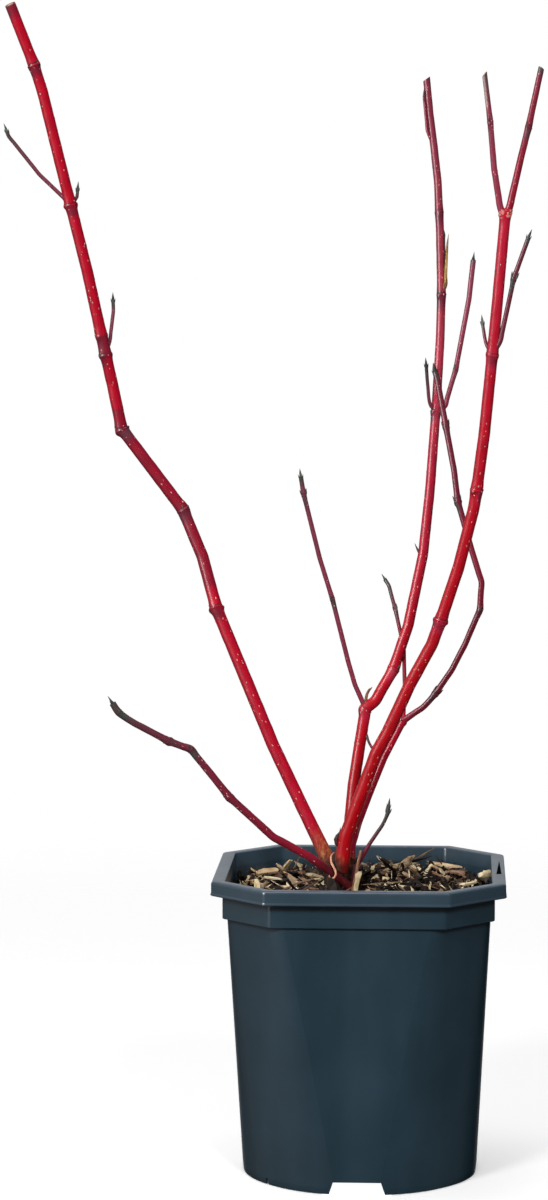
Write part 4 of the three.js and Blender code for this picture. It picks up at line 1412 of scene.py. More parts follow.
@dataclass
class Pot:
    """The nursery pot: nearly round at the foot, eight-sided under the collar and at the rim."""

    plastic: bpy.types.Material
    height: float = 199
    rim_half: float = 95
    rim_chamfer: float = 35
    rim_thick: float = 1.8
    skirt_drop: float = 9
    skirt_inset: float = 0.4
    collar_inset: float = 7.5
    collar_foot: float = 174.5
    wall_step: float = 2.5
    wall_thick: float = 1.8
    foot_half: float = 77
    eight_sided: tuple[float, float] = (0.11, 0.8)
    edge_radius: float = 4.5
    crease: float = 7.0
    floor_thick: float = 2
    pad_radius: float = 42
    channel_slope: float = 4
    channel_roof: float = 10
    notch_height: float = 8
    notch_top_half: float = 15.4
    notch_foot_half: float = 18
    drain_holes: int = 8
    drain_radius: float = 3.5
    drain_circle: float = 60
    nick: tuple[float, float] = (2.6, 4.0)
    nick_turns: tuple[float, ...] = (-138.6, -11, 41.4, 169)
    slot_near: tuple[float, float, float] = (-20, 88.6, 92.2)
    slot_far: tuple[float, float] = (31, 91.2)
    rib: tuple[float, float, float] = (33, 1.6, 8.4)
    rib_taper: float = 1.6
    rib_sunk: float = 0.1
    wall_rows: int = 20
    flat_points: int = 8
    arc_points: int = 8
    chamfer_points: int = 4

    def outline(self, half: float, reach: float, z: float, eight: float) -> np.ndarray:
        """One level outline between an eight-sided figure and a circle.

        Args:
            half: The flats' distance from the axis.
            reach: The chamfers' distance from the axis, where it is eight-sided.
            z: The outline's height.
            eight: 1 for the eight-sided figure, 0 for the circle.

        Returns:
            The outline's points, counted anticlockwise.
        """
        flat = reach * math.sqrt(2) - half
        first = eight * np.array([half, flat])
        radius = (1 - eight) * half
        angles = np.linspace(math.radians(self.crease), math.pi / 4, self.arc_points)
        arc = first + radius * np.stack([np.cos(angles), np.sin(angles)], axis=1)
        mirrored = arc[::-1, ::-1]
        between = np.linspace(0, 1, self.chamfer_points + 2)[1:-1, None]
        chamfer = arc[-1] + between * (mirrored[0] - arc[-1])
        across = np.linspace(-1, 1, self.flat_points + 2)[1:-1, None]
        face = np.concatenate([np.full_like(across, arc[0, 0]), across * arc[0, 1]], axis=1)
        side = np.concatenate([face, arc, chamfer, mirrored])
        points = []
        for quarter in range(4):
            c, s = round(math.cos(quarter * math.pi / 2)), round(math.sin(quarter * math.pi / 2))
            points.append(side @ np.array([[c, s], [-s, c]]))
        ring = np.concatenate(points)
        return np.concatenate([ring, np.full((len(ring), 1), z)], axis=1)

    def rim_reach(self, inset: float) -> float:
        """The distance of the rim's chamfers from the axis."""
        return (2 * self.rim_half - self.rim_chamfer) / math.sqrt(2) - inset

    def wall(self, z: float, inset: float) -> np.ndarray:
        """The wall's outline at a height: flats and chamfers that narrow downwards."""
        share = z / self.collar_foot
        slimmest = self.collar_inset + self.wall_step
        top = self.rim_half - slimmest
        half = self.foot_half + (top - self.foot_half) * share
        low, high = self.eight_sided
        eight = low + (high - low) * share
        return self.outline(half - inset, half * self.rim_reach(slimmest) / top - inset, z, eight)

    def rim(self, inset: float, z: float) -> np.ndarray:
        """The rim's eight-sided outline, its edges a little rounded."""
        half = self.rim_half - inset
        return self.outline(half, self.rim_reach(inset), z, 1 - self.edge_radius / half)

    def round(self, radius: float, z: float) -> np.ndarray:
        """A round outline."""
        return self.outline(radius, radius, z, 0.02)

    def rows(self) -> list[np.ndarray]:
        """The pot's outlines, from its underside up the outside and down the inside."""
        top, under = self.height, self.height - self.skirt_drop
        inner = self.collar_inset + self.wall_thick
        step = self.skirt_inset
        heights = [0, 1.2, *np.linspace(5, self.collar_foot, self.wall_rows)]
        outside = [self.wall(z, 0.35 if z == 0 else 0.0) for z in heights]
        inside = [self.wall(z, self.wall_thick) for z in reversed(heights[2:])]
        collar, foot, thick = self.collar_inset, self.collar_foot, self.rim_thick
        rim = (
            (collar + 0.3, foot), (collar, foot + 0.3), (collar, foot + 0.8), (collar, foot + 8),
            (collar, top - thick), (thick, top - thick), (thick, under), (0.3, under),
            (0, under + 0.3), (0, under + 0.7), (0, under + 1.0), (step, under + 1.7),
            (step, under + 2.1), (step, top - 1.8), (step, top - 1.4), (step + 0.35, top - 0.5),
            (step + 1.2, top), (inner - 0.9, top), (inner - 0.25, top - 0.3), (inner, top - 0.9),
            (inner, foot + 8), (inner, foot + self.wall_thick),
        )
        return [
            self.round(self.pad_radius, 0),
            self.round(self.pad_radius + self.channel_slope, self.channel_roof),
            self.wall(self.channel_roof, self.wall_thick),
            self.wall(0, self.wall_thick),
            *outside,
            *[self.rim(inset, z) for inset, z in rim],
            *inside,
            self.wall(self.channel_roof + self.floor_thick, self.wall_thick),
            self.round(self.pad_radius + self.channel_slope, self.channel_roof + self.floor_thick),
            self.round(self.pad_radius, self.floor_thick),
        ]

    def cutters(self) -> bpy.types.Object:
        """Models what the notches, nicks, drain holes and label slot are cut with."""
        made = []
        splay = (self.notch_foot_half - self.notch_top_half) / self.notch_height
        for quarter in range(4):
            turn = Matrix.Rotation(quarter * math.pi / 2, 4, "Z")
            notch = self.block((2, 14, 2))
            for vertex in notch.data.vertices:
                high = vertex.co.z > 0
                wide = self.notch_top_half if high else self.notch_foot_half + splay
                vertex.co.x = math.copysign(wide * MM, vertex.co.x)
                vertex.co.z = (self.notch_height if high else -1) * MM
                vertex.co.y -= self.foot_half * MM
            notch.data.transform(turn)
            nick = self.block((10, self.nick[0], 2 * self.nick[1]))
            nick.data.transform(Matrix.Translation((self.foot_half * MM, 0, 0)))
            nick.data.transform(Matrix.Rotation(math.radians(self.nick_turns[quarter]), 4, "Z"))
            made += [notch, nick]
        for hole in range(self.drain_holes):
            angle = (hole + 0.5) * 2 * math.pi / self.drain_holes
            deselect()
            bpy.ops.mesh.primitive_cylinder_add(
                vertices=32, radius=self.drain_radius * MM, depth=10 * MM,
                location=(
                    self.drain_circle * math.cos(angle) * MM, self.drain_circle * math.sin(angle) * MM,
                    self.channel_roof * MM,
                ),
            )
            bpy.ops.object.transform_apply(location=True, rotation=True, scale=True)
            made.append(bpy.context.object)
        slot = self.block((2, 2, 10))
        near_y, near_x, near_far_x = self.slot_near
        far_y, far_x = self.slot_far
        for vertex in slot.data.vertices:
            near = vertex.co.y < 0
            inward = vertex.co.x < 0
            vertex.co.y = (near_y if near else far_y) * MM
            vertex.co.x = (near_x if inward else near_far_x) * MM if near else (far_x - 0.2 * inward) * MM
            vertex.co.z += (self.height - 1) * MM
        made.append(slot)
        return join(made, "pot_cutters")

    def block(self, size: tuple[float, float, float]) -> bpy.types.Object:
        """Adds a block of some size in mm, centred on the origin."""
        deselect()
        bpy.ops.mesh.primitive_cube_add(size=MM)
        block = bpy.context.object
        block.data.transform(Matrix.Diagonal((*size, 1)))
        return block

    def ribs(self) -> list[bpy.types.Object]:
        """Models the ribs under the flange, which taper from the collar to the skirt."""
        place, thick, deep = self.rib
        outer, inner = self.rim_half - self.skirt_inset, self.rim_half - self.collar_inset
        made = []
        for quarter in range(4):
            for side in (place, -place):
                rib = self.block((outer - inner, thick, deep))
                for vertex in rib.data.vertices:
                    lifted = self.rib_taper * MM if vertex.co.x > 0 and vertex.co.z < 0 else 0
                    vertex.co.z += lifted
                level = self.height - self.rim_thick - deep / 2 + self.rib_sunk
                middle = ((outer + inner) / 2 * MM, side * MM, level * MM)
                rib.data.transform(Matrix.Translation(middle))
                rib.data.transform(Matrix.Rotation(quarter * math.pi / 2, 4, "Z"))
                made.append(rib)
        return made

    def crease_wall(self, piece: bpy.types.Object) -> None:
        """Keeps the edges sharp at which the wall's flats meet its round corners."""
        corner = math.radians(self.crease) / 2

        def is_crease(link: Any) -> bool:
            low, high = sorted((vertex.co for vertex in link.verts), key=lambda spot: spot.z)
            steep = high.z - low.z > 0.9 * (high - low).length
            if not steep or high.z > (self.collar_foot + 0.1) * MM or len(link.link_faces) < 2:
                return False
            return link.calc_face_angle() > corner and self.at_flat_border(low)

        edit(piece, "EDGE", is_crease)
        bpy.ops.mesh.mark_sharp()
        leave_edit()

    def at_flat_border(self, spot: Vector) -> bool:
        """Whether a point of the wall lies on the border of one of its four flats."""
        wide, narrow = max(abs(spot.x), abs(spot.y)) / MM, min(abs(spot.x), abs(spot.y)) / MM
        for inset in (0.0, self.wall_thick, 0.35):
            ring = self.wall(spot.z / MM, inset)
            border = ring[self.flat_points]
            if abs(wide - border[0]) < 0.05 and abs(narrow - border[1]) < 0.05:
                return True
        return False

    def build(self) -> None:
        """Models the pot and hands it over."""
        rows = np.array(self.rows())
        steps = np.linalg.norm(np.diff(rows, axis=0), axis=2).mean(axis=1)
        piece = wrap_grid("pot_shell", rows, np.concatenate([[0], np.cumsum(steps)]))
        self.crease_wall(piece)
        close_ends(piece)
        cutter = self.cutters()
        select_only(piece)
        bpy.ops.object.modifier_add(type="BOOLEAN")
        boolean = piece.modifiers[-1]
        boolean.object = cutter
        boolean.operation = "DIFFERENCE"
        boolean.solver = "EXACT"
        boolean.use_self = True
        bpy.ops.object.modifier_apply(modifier=boolean.name)
        bpy.data.objects.remove(cutter)
        piece = join([piece, *self.ribs()], "pot_shell")
        piece.data.materials.clear()
        piece.data.materials.append(self.plastic)
        smooth(piece, 32)
        hand_over(piece, "pot_plastic", "pot")


# What fills the pot


@dataclass(frozen=True)
class ChipSize:
    """A kind of bark chip: how long, wide and thick, how many, and how steeply they lie."""

    count: int
    length: tuple[float, float]
    width: tuple[float, float]
    thick: tuple[float, float]
    tilt: float
    lift: tuple[float, float]


@dataclass(frozen=True)
class PlacedChip:
    """A chip that shows in the photograph: its two ends, its width, thickness and tone."""

    start: tuple[float, float, float]
    end: tuple[float, float, float]
    width: float
    thick: float
    tone: int


@dataclass
class Fill:
    """The potting mix with its layer of bark mulch."""

    pot: Pot
    finishes: dict[str, bpy.types.Material]
    gap: float = 0.3
    mix_top: float = 172
    edge_height: float = 184
    heap: float = 6
    heap_at: tuple[float, float] = (22, 34)
    heap_spread: float = 42
    edge_dip: float = 3.5
    waves: tuple[tuple[float, float, float], ...] = ((1.4, 7.3, 8.9), (0.9, 13, 6.5))
    crown_at: tuple[float, float] = (-10, 1)
    crown_clear: float = 15
    seed: int = 5
    kinds: tuple[ChipSize, ...] = (
        ChipSize(60, (18, 34), (1.8, 3.4), (1.0, 2.0), 0.22, (1.0, 4.5)),
        ChipSize(260, (7, 16), (2.2, 4.8), (1.0, 2.2), 0.4, (0.3, 3.2)),
        ChipSize(700, (3, 8), (1.2, 3.2), (0.6, 1.8), 0.6, (0.0, 2.6)),
        ChipSize(700, (5, 15), (0.4, 0.9), (0.4, 0.8), 0.35, (0.4, 3.4)),
    )
    tone_shares: tuple[float, ...] = (0.105, 0.08, 0.05, 0.1, 0.065, 0.6)
    crumbs: int = 3000
    spread: float = 86
    tries: int = 30
    mix_rings: int = 40
    bed_rings: int = 58
    bed_below: float = 1.6
    bed_unevenness: float = 0.75
    placed: tuple[PlacedChip, ...] = (
        PlacedChip((43, 66, 192), (67, 50, 191), 4.2, 2.0, 1),
        PlacedChip((33, 70, 192), (48, 76, 200), 2.6, 1.4, 4),
        PlacedChip((24, 64, 191), (35, 70, 196), 5.0, 2.0, 1),
        PlacedChip((10, 66, 196), (21, 40, 191), 3.2, 1.6, 0),
        PlacedChip((34, 72, 196), (24, 18, 191), 3.6, 1.8, 4),
        PlacedChip((13, 28, 190), (25, 44, 193), 3.4, 1.8, 1),
        PlacedChip((10, 6, 184), (10, 7, 193), 6.0, 2.4, 0),
        PlacedChip((16, 4, 184), (16, 6, 192), 4.0, 2.0, 0),
        PlacedChip((-3, -20, 186), (-1, -14, 199), 3.4, 1.8, 0),
        PlacedChip((-53, 44, 190), (-48, 40, 197), 4.2, 1.8, 0),
        PlacedChip((-70, 30, 190), (-56, 36, 191), 4.4, 2.0, 1),
        PlacedChip((-72, 4, 188), (-62, -6, 188), 5.0, 2.2, 1),
        PlacedChip((-64, 12, 190), (-52, 4, 190), 4.4, 2.0, 0),
        PlacedChip((-26, 2, 187), (-18, 0, 192), 5.0, 3.0, 0),
        PlacedChip((79, 24, 189), (84, 20, 194), 6.5, 4.0, 0),
        PlacedChip((64, -12, 190), (76, -2, 190), 5.6, 2.2, 0),
        PlacedChip((58, 44, 190), (68, 28, 191), 4.0, 2.0, 2),
        PlacedChip((50, 26, 190), (60, 16, 190), 3.6, 1.8, 1),
        PlacedChip((45, -12, 186), (46, -11, 192), 1.6, 1.0, 0),
        PlacedChip((-40, 20, 189), (-30, 34, 190), 4.0, 1.8, 3),
    )

    def height(self, x: np.ndarray | float, y: np.ndarray | float) -> np.ndarray | float:
        """The mulch's height at a place."""
        away = np.hypot(x - self.heap_at[0], y - self.heap_at[1]) / self.heap_spread
        heaped = self.edge_height + self.heap * np.exp(-(away**2))
        inset = self.pot.collar_inset + self.pot.wall_thick
        flat = self.pot.rim_half - inset - np.maximum(np.abs(x), np.abs(y))
        corner = self.pot.rim_reach(inset) - (np.abs(x) + np.abs(y)) / math.sqrt(2)
        heaped = heaped - self.edge_dip * np.exp(-np.clip(np.minimum(flat, corner), 0, None) / 8)
        return heaped + sum(rise * np.sin(x / a + 1) * np.cos(y / b) for rise, a, b in self.waves)

    def inside(self, x: float, y: float, margin: float) -> bool:
        """Whether a place is inside the collar, some way from its walls."""
        inset = self.pot.collar_inset + self.pot.wall_thick + margin
        flat = max(abs(x), abs(y)) < self.pot.rim_half - inset
        return flat and (abs(x) + abs(y)) / math.sqrt(2) < self.pot.rim_reach(inset)

    def build_mix(self) -> None:
        """Models the potting mix that fills the pot below the mulch."""
        pot, gap = self.pot, self.gap
        floor = pot.channel_roof + pot.floor_thick + gap
        inset = pot.wall_thick + gap
        rows = [
            pot.round(pot.pad_radius - gap, pot.floor_thick + gap),
            pot.round(pot.pad_radius + pot.channel_slope - gap, floor),
            *[pot.wall(z, inset) for z in np.linspace(floor, self.mix_top, self.mix_rings)],
        ]
        rings = np.array(rows)
        angles = np.arctan2(rings[0, :, 1], rings[0, :, 0])
        rough = 0.4 * (1 + ripple(self.seed, rings[:, :1, 2], angles, 9))
        rings[:, :, :2] *= (1 - rough / 80)[:, :, None]
        piece = wrap_grid("potting_mix_core", rings, rings[:, 0, 2])
        close_ends(piece)
        piece.data.materials.append(self.finishes["soil"])
        smooth(piece, 40)
        hand_over(piece, "potting_mix", "potting_mix")

    def build_bed(self) -> bpy.types.Object:
        """Models the dark, crumbly bed that the chips lie on."""
        random = np.random.default_rng(self.seed)
        edge = self.pot.rim(self.pot.collar_inset + self.pot.wall_thick + self.gap, 0)
        low = self.pot.wall(self.mix_top, self.pot.wall_thick + self.gap)
        low[:, 2] = self.mix_top + self.gap
        waist = self.pot.wall(self.pot.collar_foot, self.pot.wall_thick + self.gap)
        waist[:, 2] = self.pot.collar_foot + self.pot.wall_thick + 0.6
        outer = edge.copy()
        outer[:, 2] = waist[:, 2] + 1
        rings = [low, waist, outer]
        for share in np.linspace(1, 0.02, self.bed_rings):
            ring = edge * share
            uneven = random.normal(0, self.bed_unevenness, len(ring))
            ring[:, 2] = self.height(ring[:, 0], ring[:, 1]) - self.bed_below + uneven
            rings.append(ring)
        spans = [0, 4, 8, *np.linspace(10, 96, self.bed_rings)]
        piece = wrap_grid("mulch_bed", np.array(rings), spans)
        close_ends(piece)
        piece.data.materials.append(self.finishes["soil"])
        smooth(piece, 60)
        return piece

    def chip_shapes(self) -> list[Template]:
        """Models the chips' outlines, their length along Z: a flake, a splinter and a chunk."""
        made = []
        for name, sides, power, rows in (
            ("flake", 8, 0.3, (
                (-0.5, 0.2, 0.3), (-0.44, 0.42, 0.42), (-0.2, 0.52, 0.5), (0.12, 0.46, 0.5),
                (0.36, 0.5, 0.44), (0.5, 0.3, 0.3),
            )),
            ("splinter", 6, 0.8, (
                (-0.5, 0.08, 0.1), (-0.34, 0.34, 0.36), (-0.05, 0.5, 0.5), (0.25, 0.4, 0.44),
                (0.42, 0.26, 0.3), (0.5, 0.06, 0.08),
            )),
            ("chunk", 6, 0.55, (
                (-0.5, 0.42, 0.4), (-0.46, 0.52, 0.5), (-0.1, 0.5, 0.52), (0.2, 0.5, 0.46),
                (0.47, 0.5, 0.48), (0.5, 0.4, 0.38),
            )),
        ):
            shape = ring_template(name, rows, sides)
            flat = shape.points[:, :2] * 2
            away = np.hypot(*flat.T)[:, None] ** 0.5
            shape.points[:, :2] = np.sign(flat) * np.abs(flat) ** power / 2 * away
            made.append(shape)
        return made

    def add_chip(
        self, heap: Heap, random: np.random.Generator, start: np.ndarray, end: np.ndarray,
        width: float, thick: float, tone: int,
    ) -> None:
        """Adds one chip, rough, bent and tapered in its own way.

        Args:
            heap: Where it goes.
            random: The source of its unevenness.
            start: One end, in mm.
            end: The other end.
            width: How wide it is.
            thick: How thick it is.
            tone: Its colour's number.
        """
        length = float(np.linalg.norm(end - start))
        kind = 1 if length > 6 * width else int(random.choice(3, p=(0.6, 0.2, 0.2)))
        shape = self.shapes[kind]
        points = shape.points * (width, thick, length)
        along = shape.points[:, 2:3]
        points[:, :2] *= 1 + random.uniform(-0.7, 0.7) * along
        points[:, :1] += width * random.uniform(-0.5, 0.5) * along**2
        points[:, :1] += width * random.uniform(-0.25, 0.25) * np.sin(7 * along + random.uniform(0, 6))
        points[:, 1:2] += length * random.uniform(-0.09, 0.09) * along**2
        points[:, 1:2] += points[:, :1] * random.uniform(-0.3, 0.3)
        slant = points[:, :1] * random.uniform(-0.6, 0.6, 2)
        points[:, 2:3] += np.where(along > 0, slant[:, :1], slant[:, 1:]) * np.abs(along) * 2
        points += random.normal(0, 0.07, points.shape) * (width, thick * 1.5, min(length * 0.3, 3))
        direction = (end - start) / length
        level = np.cross([0.0, 0.0, 1.0], direction)
        level = level if np.linalg.norm(level) > 0.05 else np.array([1.0, 0.0, 0.0])
        roll = level + np.cross(direction, level) * random.uniform(-0.7, 0.7)
        placed = aligned(points, direction, roll, (start + end) / 2)
        heap.add(shape, placed, tone, random.uniform(0, 0.3))

    def scatter(self, heap: Heap, random: np.random.Generator, kind: ChipSize) -> None:
        """Scatters chips of one kind over the bed, clear of the crown and the walls.

        Args:
            heap: Where they go.
            random: The source of their places and sizes.
            kind: Their sizes and their number.
        """
        for _ in range(kind.count):
            length = random.uniform(*kind.length)
            width = random.uniform(*kind.width)
            for _ in range(self.tries):
                x, y = random.uniform(-self.spread, self.spread, 2)
                yaw = random.uniform(0, 2 * math.pi)
                rise = random.normal(0, kind.tilt)
                reach = heading_vector(90 - math.degrees(rise), math.degrees(yaw)) * length / 2
                ends = [(x + s * reach[0], y + s * reach[1]) for s in (-1, 1)]
                gap = math.hypot(x - self.crown_at[0], y - self.crown_at[1])
                clear = gap > self.crown_clear + min(length, 12) / 2
                margin = width / 2 + (5.0 if length > 7 else 0.8)
                if clear and all(self.inside(*p, margin) for p in ends):
                    break
            else:
                continue
            z = float(self.height(x, y)) - 0.8 + random.uniform(*kind.lift)
            middle = np.array([x, y, z + abs(reach[2]) * 0.6])
            tone = int(random.choice(len(self.tone_shares), p=self.tone_shares))
            thick = random.uniform(*kind.thick)
            self.add_chip(heap, random, middle - reach, middle + reach, width, thick, tone)

    def build_mulch(self) -> None:
        """Models the bed, the chips and the crumbs, and hands them over."""
        bed = self.build_bed()
        hand_over(bed, "bark_mulch", "bark_mulch")
        random = np.random.default_rng(self.seed + 1)
        self.shapes = self.chip_shapes()
        heap = Heap()
        for chip in self.placed:
            start, end = np.array(chip.start, float), np.array(chip.end, float)
            self.add_chip(heap, random, start, end, chip.width, chip.thick, chip.tone)
        for kind in self.kinds:
            self.scatter(heap, random, kind)
        tones = [self.finishes[f"chip_{k}"] for k in range(len(self.tone_shares))]
        hand_over(heap.build("bark_chips", tones, 28), "bark_mulch")
        self.build_crumbs(random)

    def build_crumbs(self, random: np.random.Generator) -> None:
        """Models the small dark crumbs between the chips."""
        crumb = ring_template(
            "crumb_shape", ((-0.5, 0.25, 0.25), (-0.2, 0.5, 0.5), (0.2, 0.48, 0.5), (0.5, 0.2, 0.2)), 6
        )
        heap = Heap()
        while heap.count < self.crumbs * len(crumb.points):
            x, y = random.uniform(-self.spread, self.spread, 2)
            size = random.uniform(0.8, 2.6)
            near = math.hypot(x - self.crown_at[0], y - self.crown_at[1]) < self.crown_clear - 2
            if near or not self.inside(x, y, size / 2 + 0.4):
                continue
            points = crumb.points * random.uniform(0.6, 1.3, 3) * size
            points = points + random.normal(0, 0.1 * size, points.shape)
            way, side = random.normal(0, 1, (2, 3))
            place = np.array([x, y, float(self.height(x, y)) - 1.2 + random.uniform(0, 1.6)])
            tone = int(random.choice(3, p=(0.7, 0.2, 0.1)))
            heap.add(crumb, aligned(points, way, side, place), tone, random.uniform(0, 0.3))
        piece = heap.build("mulch_crumbs", [self.finishes[k] for k in ("soil", "chip_5", "chip_3")])
        hand_over(piece, "bark_mulch")


# Root crown


@dataclass
class Crown:
    """The woody crown that the stems share, with what has peeled off it."""

    finishes: dict[str, bpy.types.Material]
    foot: float = 172.3
    rings: tuple[tuple[float, float, float, float], ...] = (
        (0, -8, 2, 17), (8, -9, 2, 14), (16, -11, 2, 12), (26, -12, 3, 11.5), (32, -13, 3, 10),
        (35.5, -13, 3, 6),
    )
    lobes: int = 5
    lobe_depth: float = 0.13
    bumps: tuple[tuple[int, float, float], ...] = ((3, 0.05, 8), (4, 0.02, 2.5))
    sides: int = 56
    rows: int = 44
    # The strip's points follow ones printed by a separate calculator, like the stems' stretches.
    strip: tuple[tuple[float, float, float], ...] = (
        (-17.1, -10.5, 210.8), (-18.8, -14.0, 209.2), (-18.8, -17.5, 205.9), (-17.3, -20.5, 203.1),
        (-15.8, -21.5, 200.1), (-15.7, -22.2, 197.9), (-17.1, -22.4, 195.9), (-18.7, -22.2, 195.5),
        (-19.7, -22.0, 196.6), (-20.1, -21.8, 197.8),
    )
    strip_width: float = 0.75
    strip_thick: float = 0.4
    knob: tuple[tuple[float, float, float, float], ...] = (
        (-13.0, -5.0, 212.6, 1.8), (-14.8, -5.4, 215.6, 2.2), (-15.3, -5.6, 218.6, 2.2),
        (-14.5, -5.4, 221.2, 1.6), (-13.4, -5.2, 223.4, 0.7), (-13.3, -5.2, 227.0, 0.15),
    )

    def build(self) -> None:
        """Models the crown, its knob and the curl of peeled bark."""
        table = np.array(self.rings)
        heights = np.linspace(0, table[-1, 0], self.rows)
        up = heights[:, None]
        angles = np.linspace(0, 2 * math.pi, self.sides, endpoint=False)
        x, y, radius = (np.interp(heights, table[:, 0], table[:, k])[:, None] for k in (1, 2, 3))
        lobed = 1 + self.lobe_depth * np.sin(self.lobes * angles + up / 6)
        rough = 1 + sum(deep * ripple(seed, up, angles, wide) for seed, deep, wide in self.bumps)
        reach = radius * lobed * rough
        level = up + self.foot + 0 * reach
        points = np.stack([x + reach * np.cos(angles), y + reach * np.sin(angles), level], axis=2)
        body = wrap_grid("root_crown_cork", points, heights)
        close_ends(body)
        body.data.materials.append(self.finishes["cork"])
        smooth(body, 70)
        knob = self.tube("dead_knob", [(*p[:3], p[3], p[3]) for p in self.knob], 12, 0.22)
        knob.data.materials.append(self.finishes["knob"])
        piece = join([body, knob], "root_crown_cork")
        hand_over(piece, "crown_bark", "root_crown")
        curl = self.tube(
            "peeled_bark", [(*p, self.strip_width, self.strip_thick) for p in self.strip], 10, 0.1
        )
        curl.data.materials.append(self.finishes["peeled"])
        hand_over(curl, "crown_bark")

    def tube(
        self, name: str, stops: Sequence[tuple[float, float, float, float, float]], sides: int, rough: float
    ) -> bpy.types.Object:
        """Models a closed tube through some places.

        Args:
            name: The object's name.
            stops: Rows of x, y, z, and half the width and thickness there.
            sides: How many points each ring has.
            rough: How uneven it is, as a share of its radius.

        Returns:
            The tube.
        """
        table = np.array(stops, float)
        line = Line.through(table[:, :3])
        at = np.linspace(0, line.total, max(10, int(line.total / 0.6)))
        knots = np.linspace(0, line.total, len(table))
        wide, thick = (np.interp(at, knots, table[:, k])[:, None] for k in (3, 4))
        ends = np.sin(np.clip(at / line.total, 0.02, 0.98) * math.pi)[:, None] ** 0.35
        angles = np.linspace(0, 2 * math.pi, sides, endpoint=False)
        tangents = line.direction(at)
        side = np.cross(tangents, [0.3, -1.0, 0.1])
        side = side / np.linalg.norm(side, axis=1, keepdims=True)
        flat = np.cross(tangents, side)
        uneven = 1 + rough * ripple(len(name), at[:, None], angles, 4)
        across = (np.cos(angles) * wide * ends * uneven)[:, :, None] * side[:, None, :]
        through = (np.sin(angles) * thick * ends * uneven)[:, :, None] * flat[:, None, :]
        tube = wrap_grid(name, line.place(at)[:, None, :] + across + through, at)
        close_ends(tube)
        smooth(tube, 70)
        return tube


# Camera, light and floor


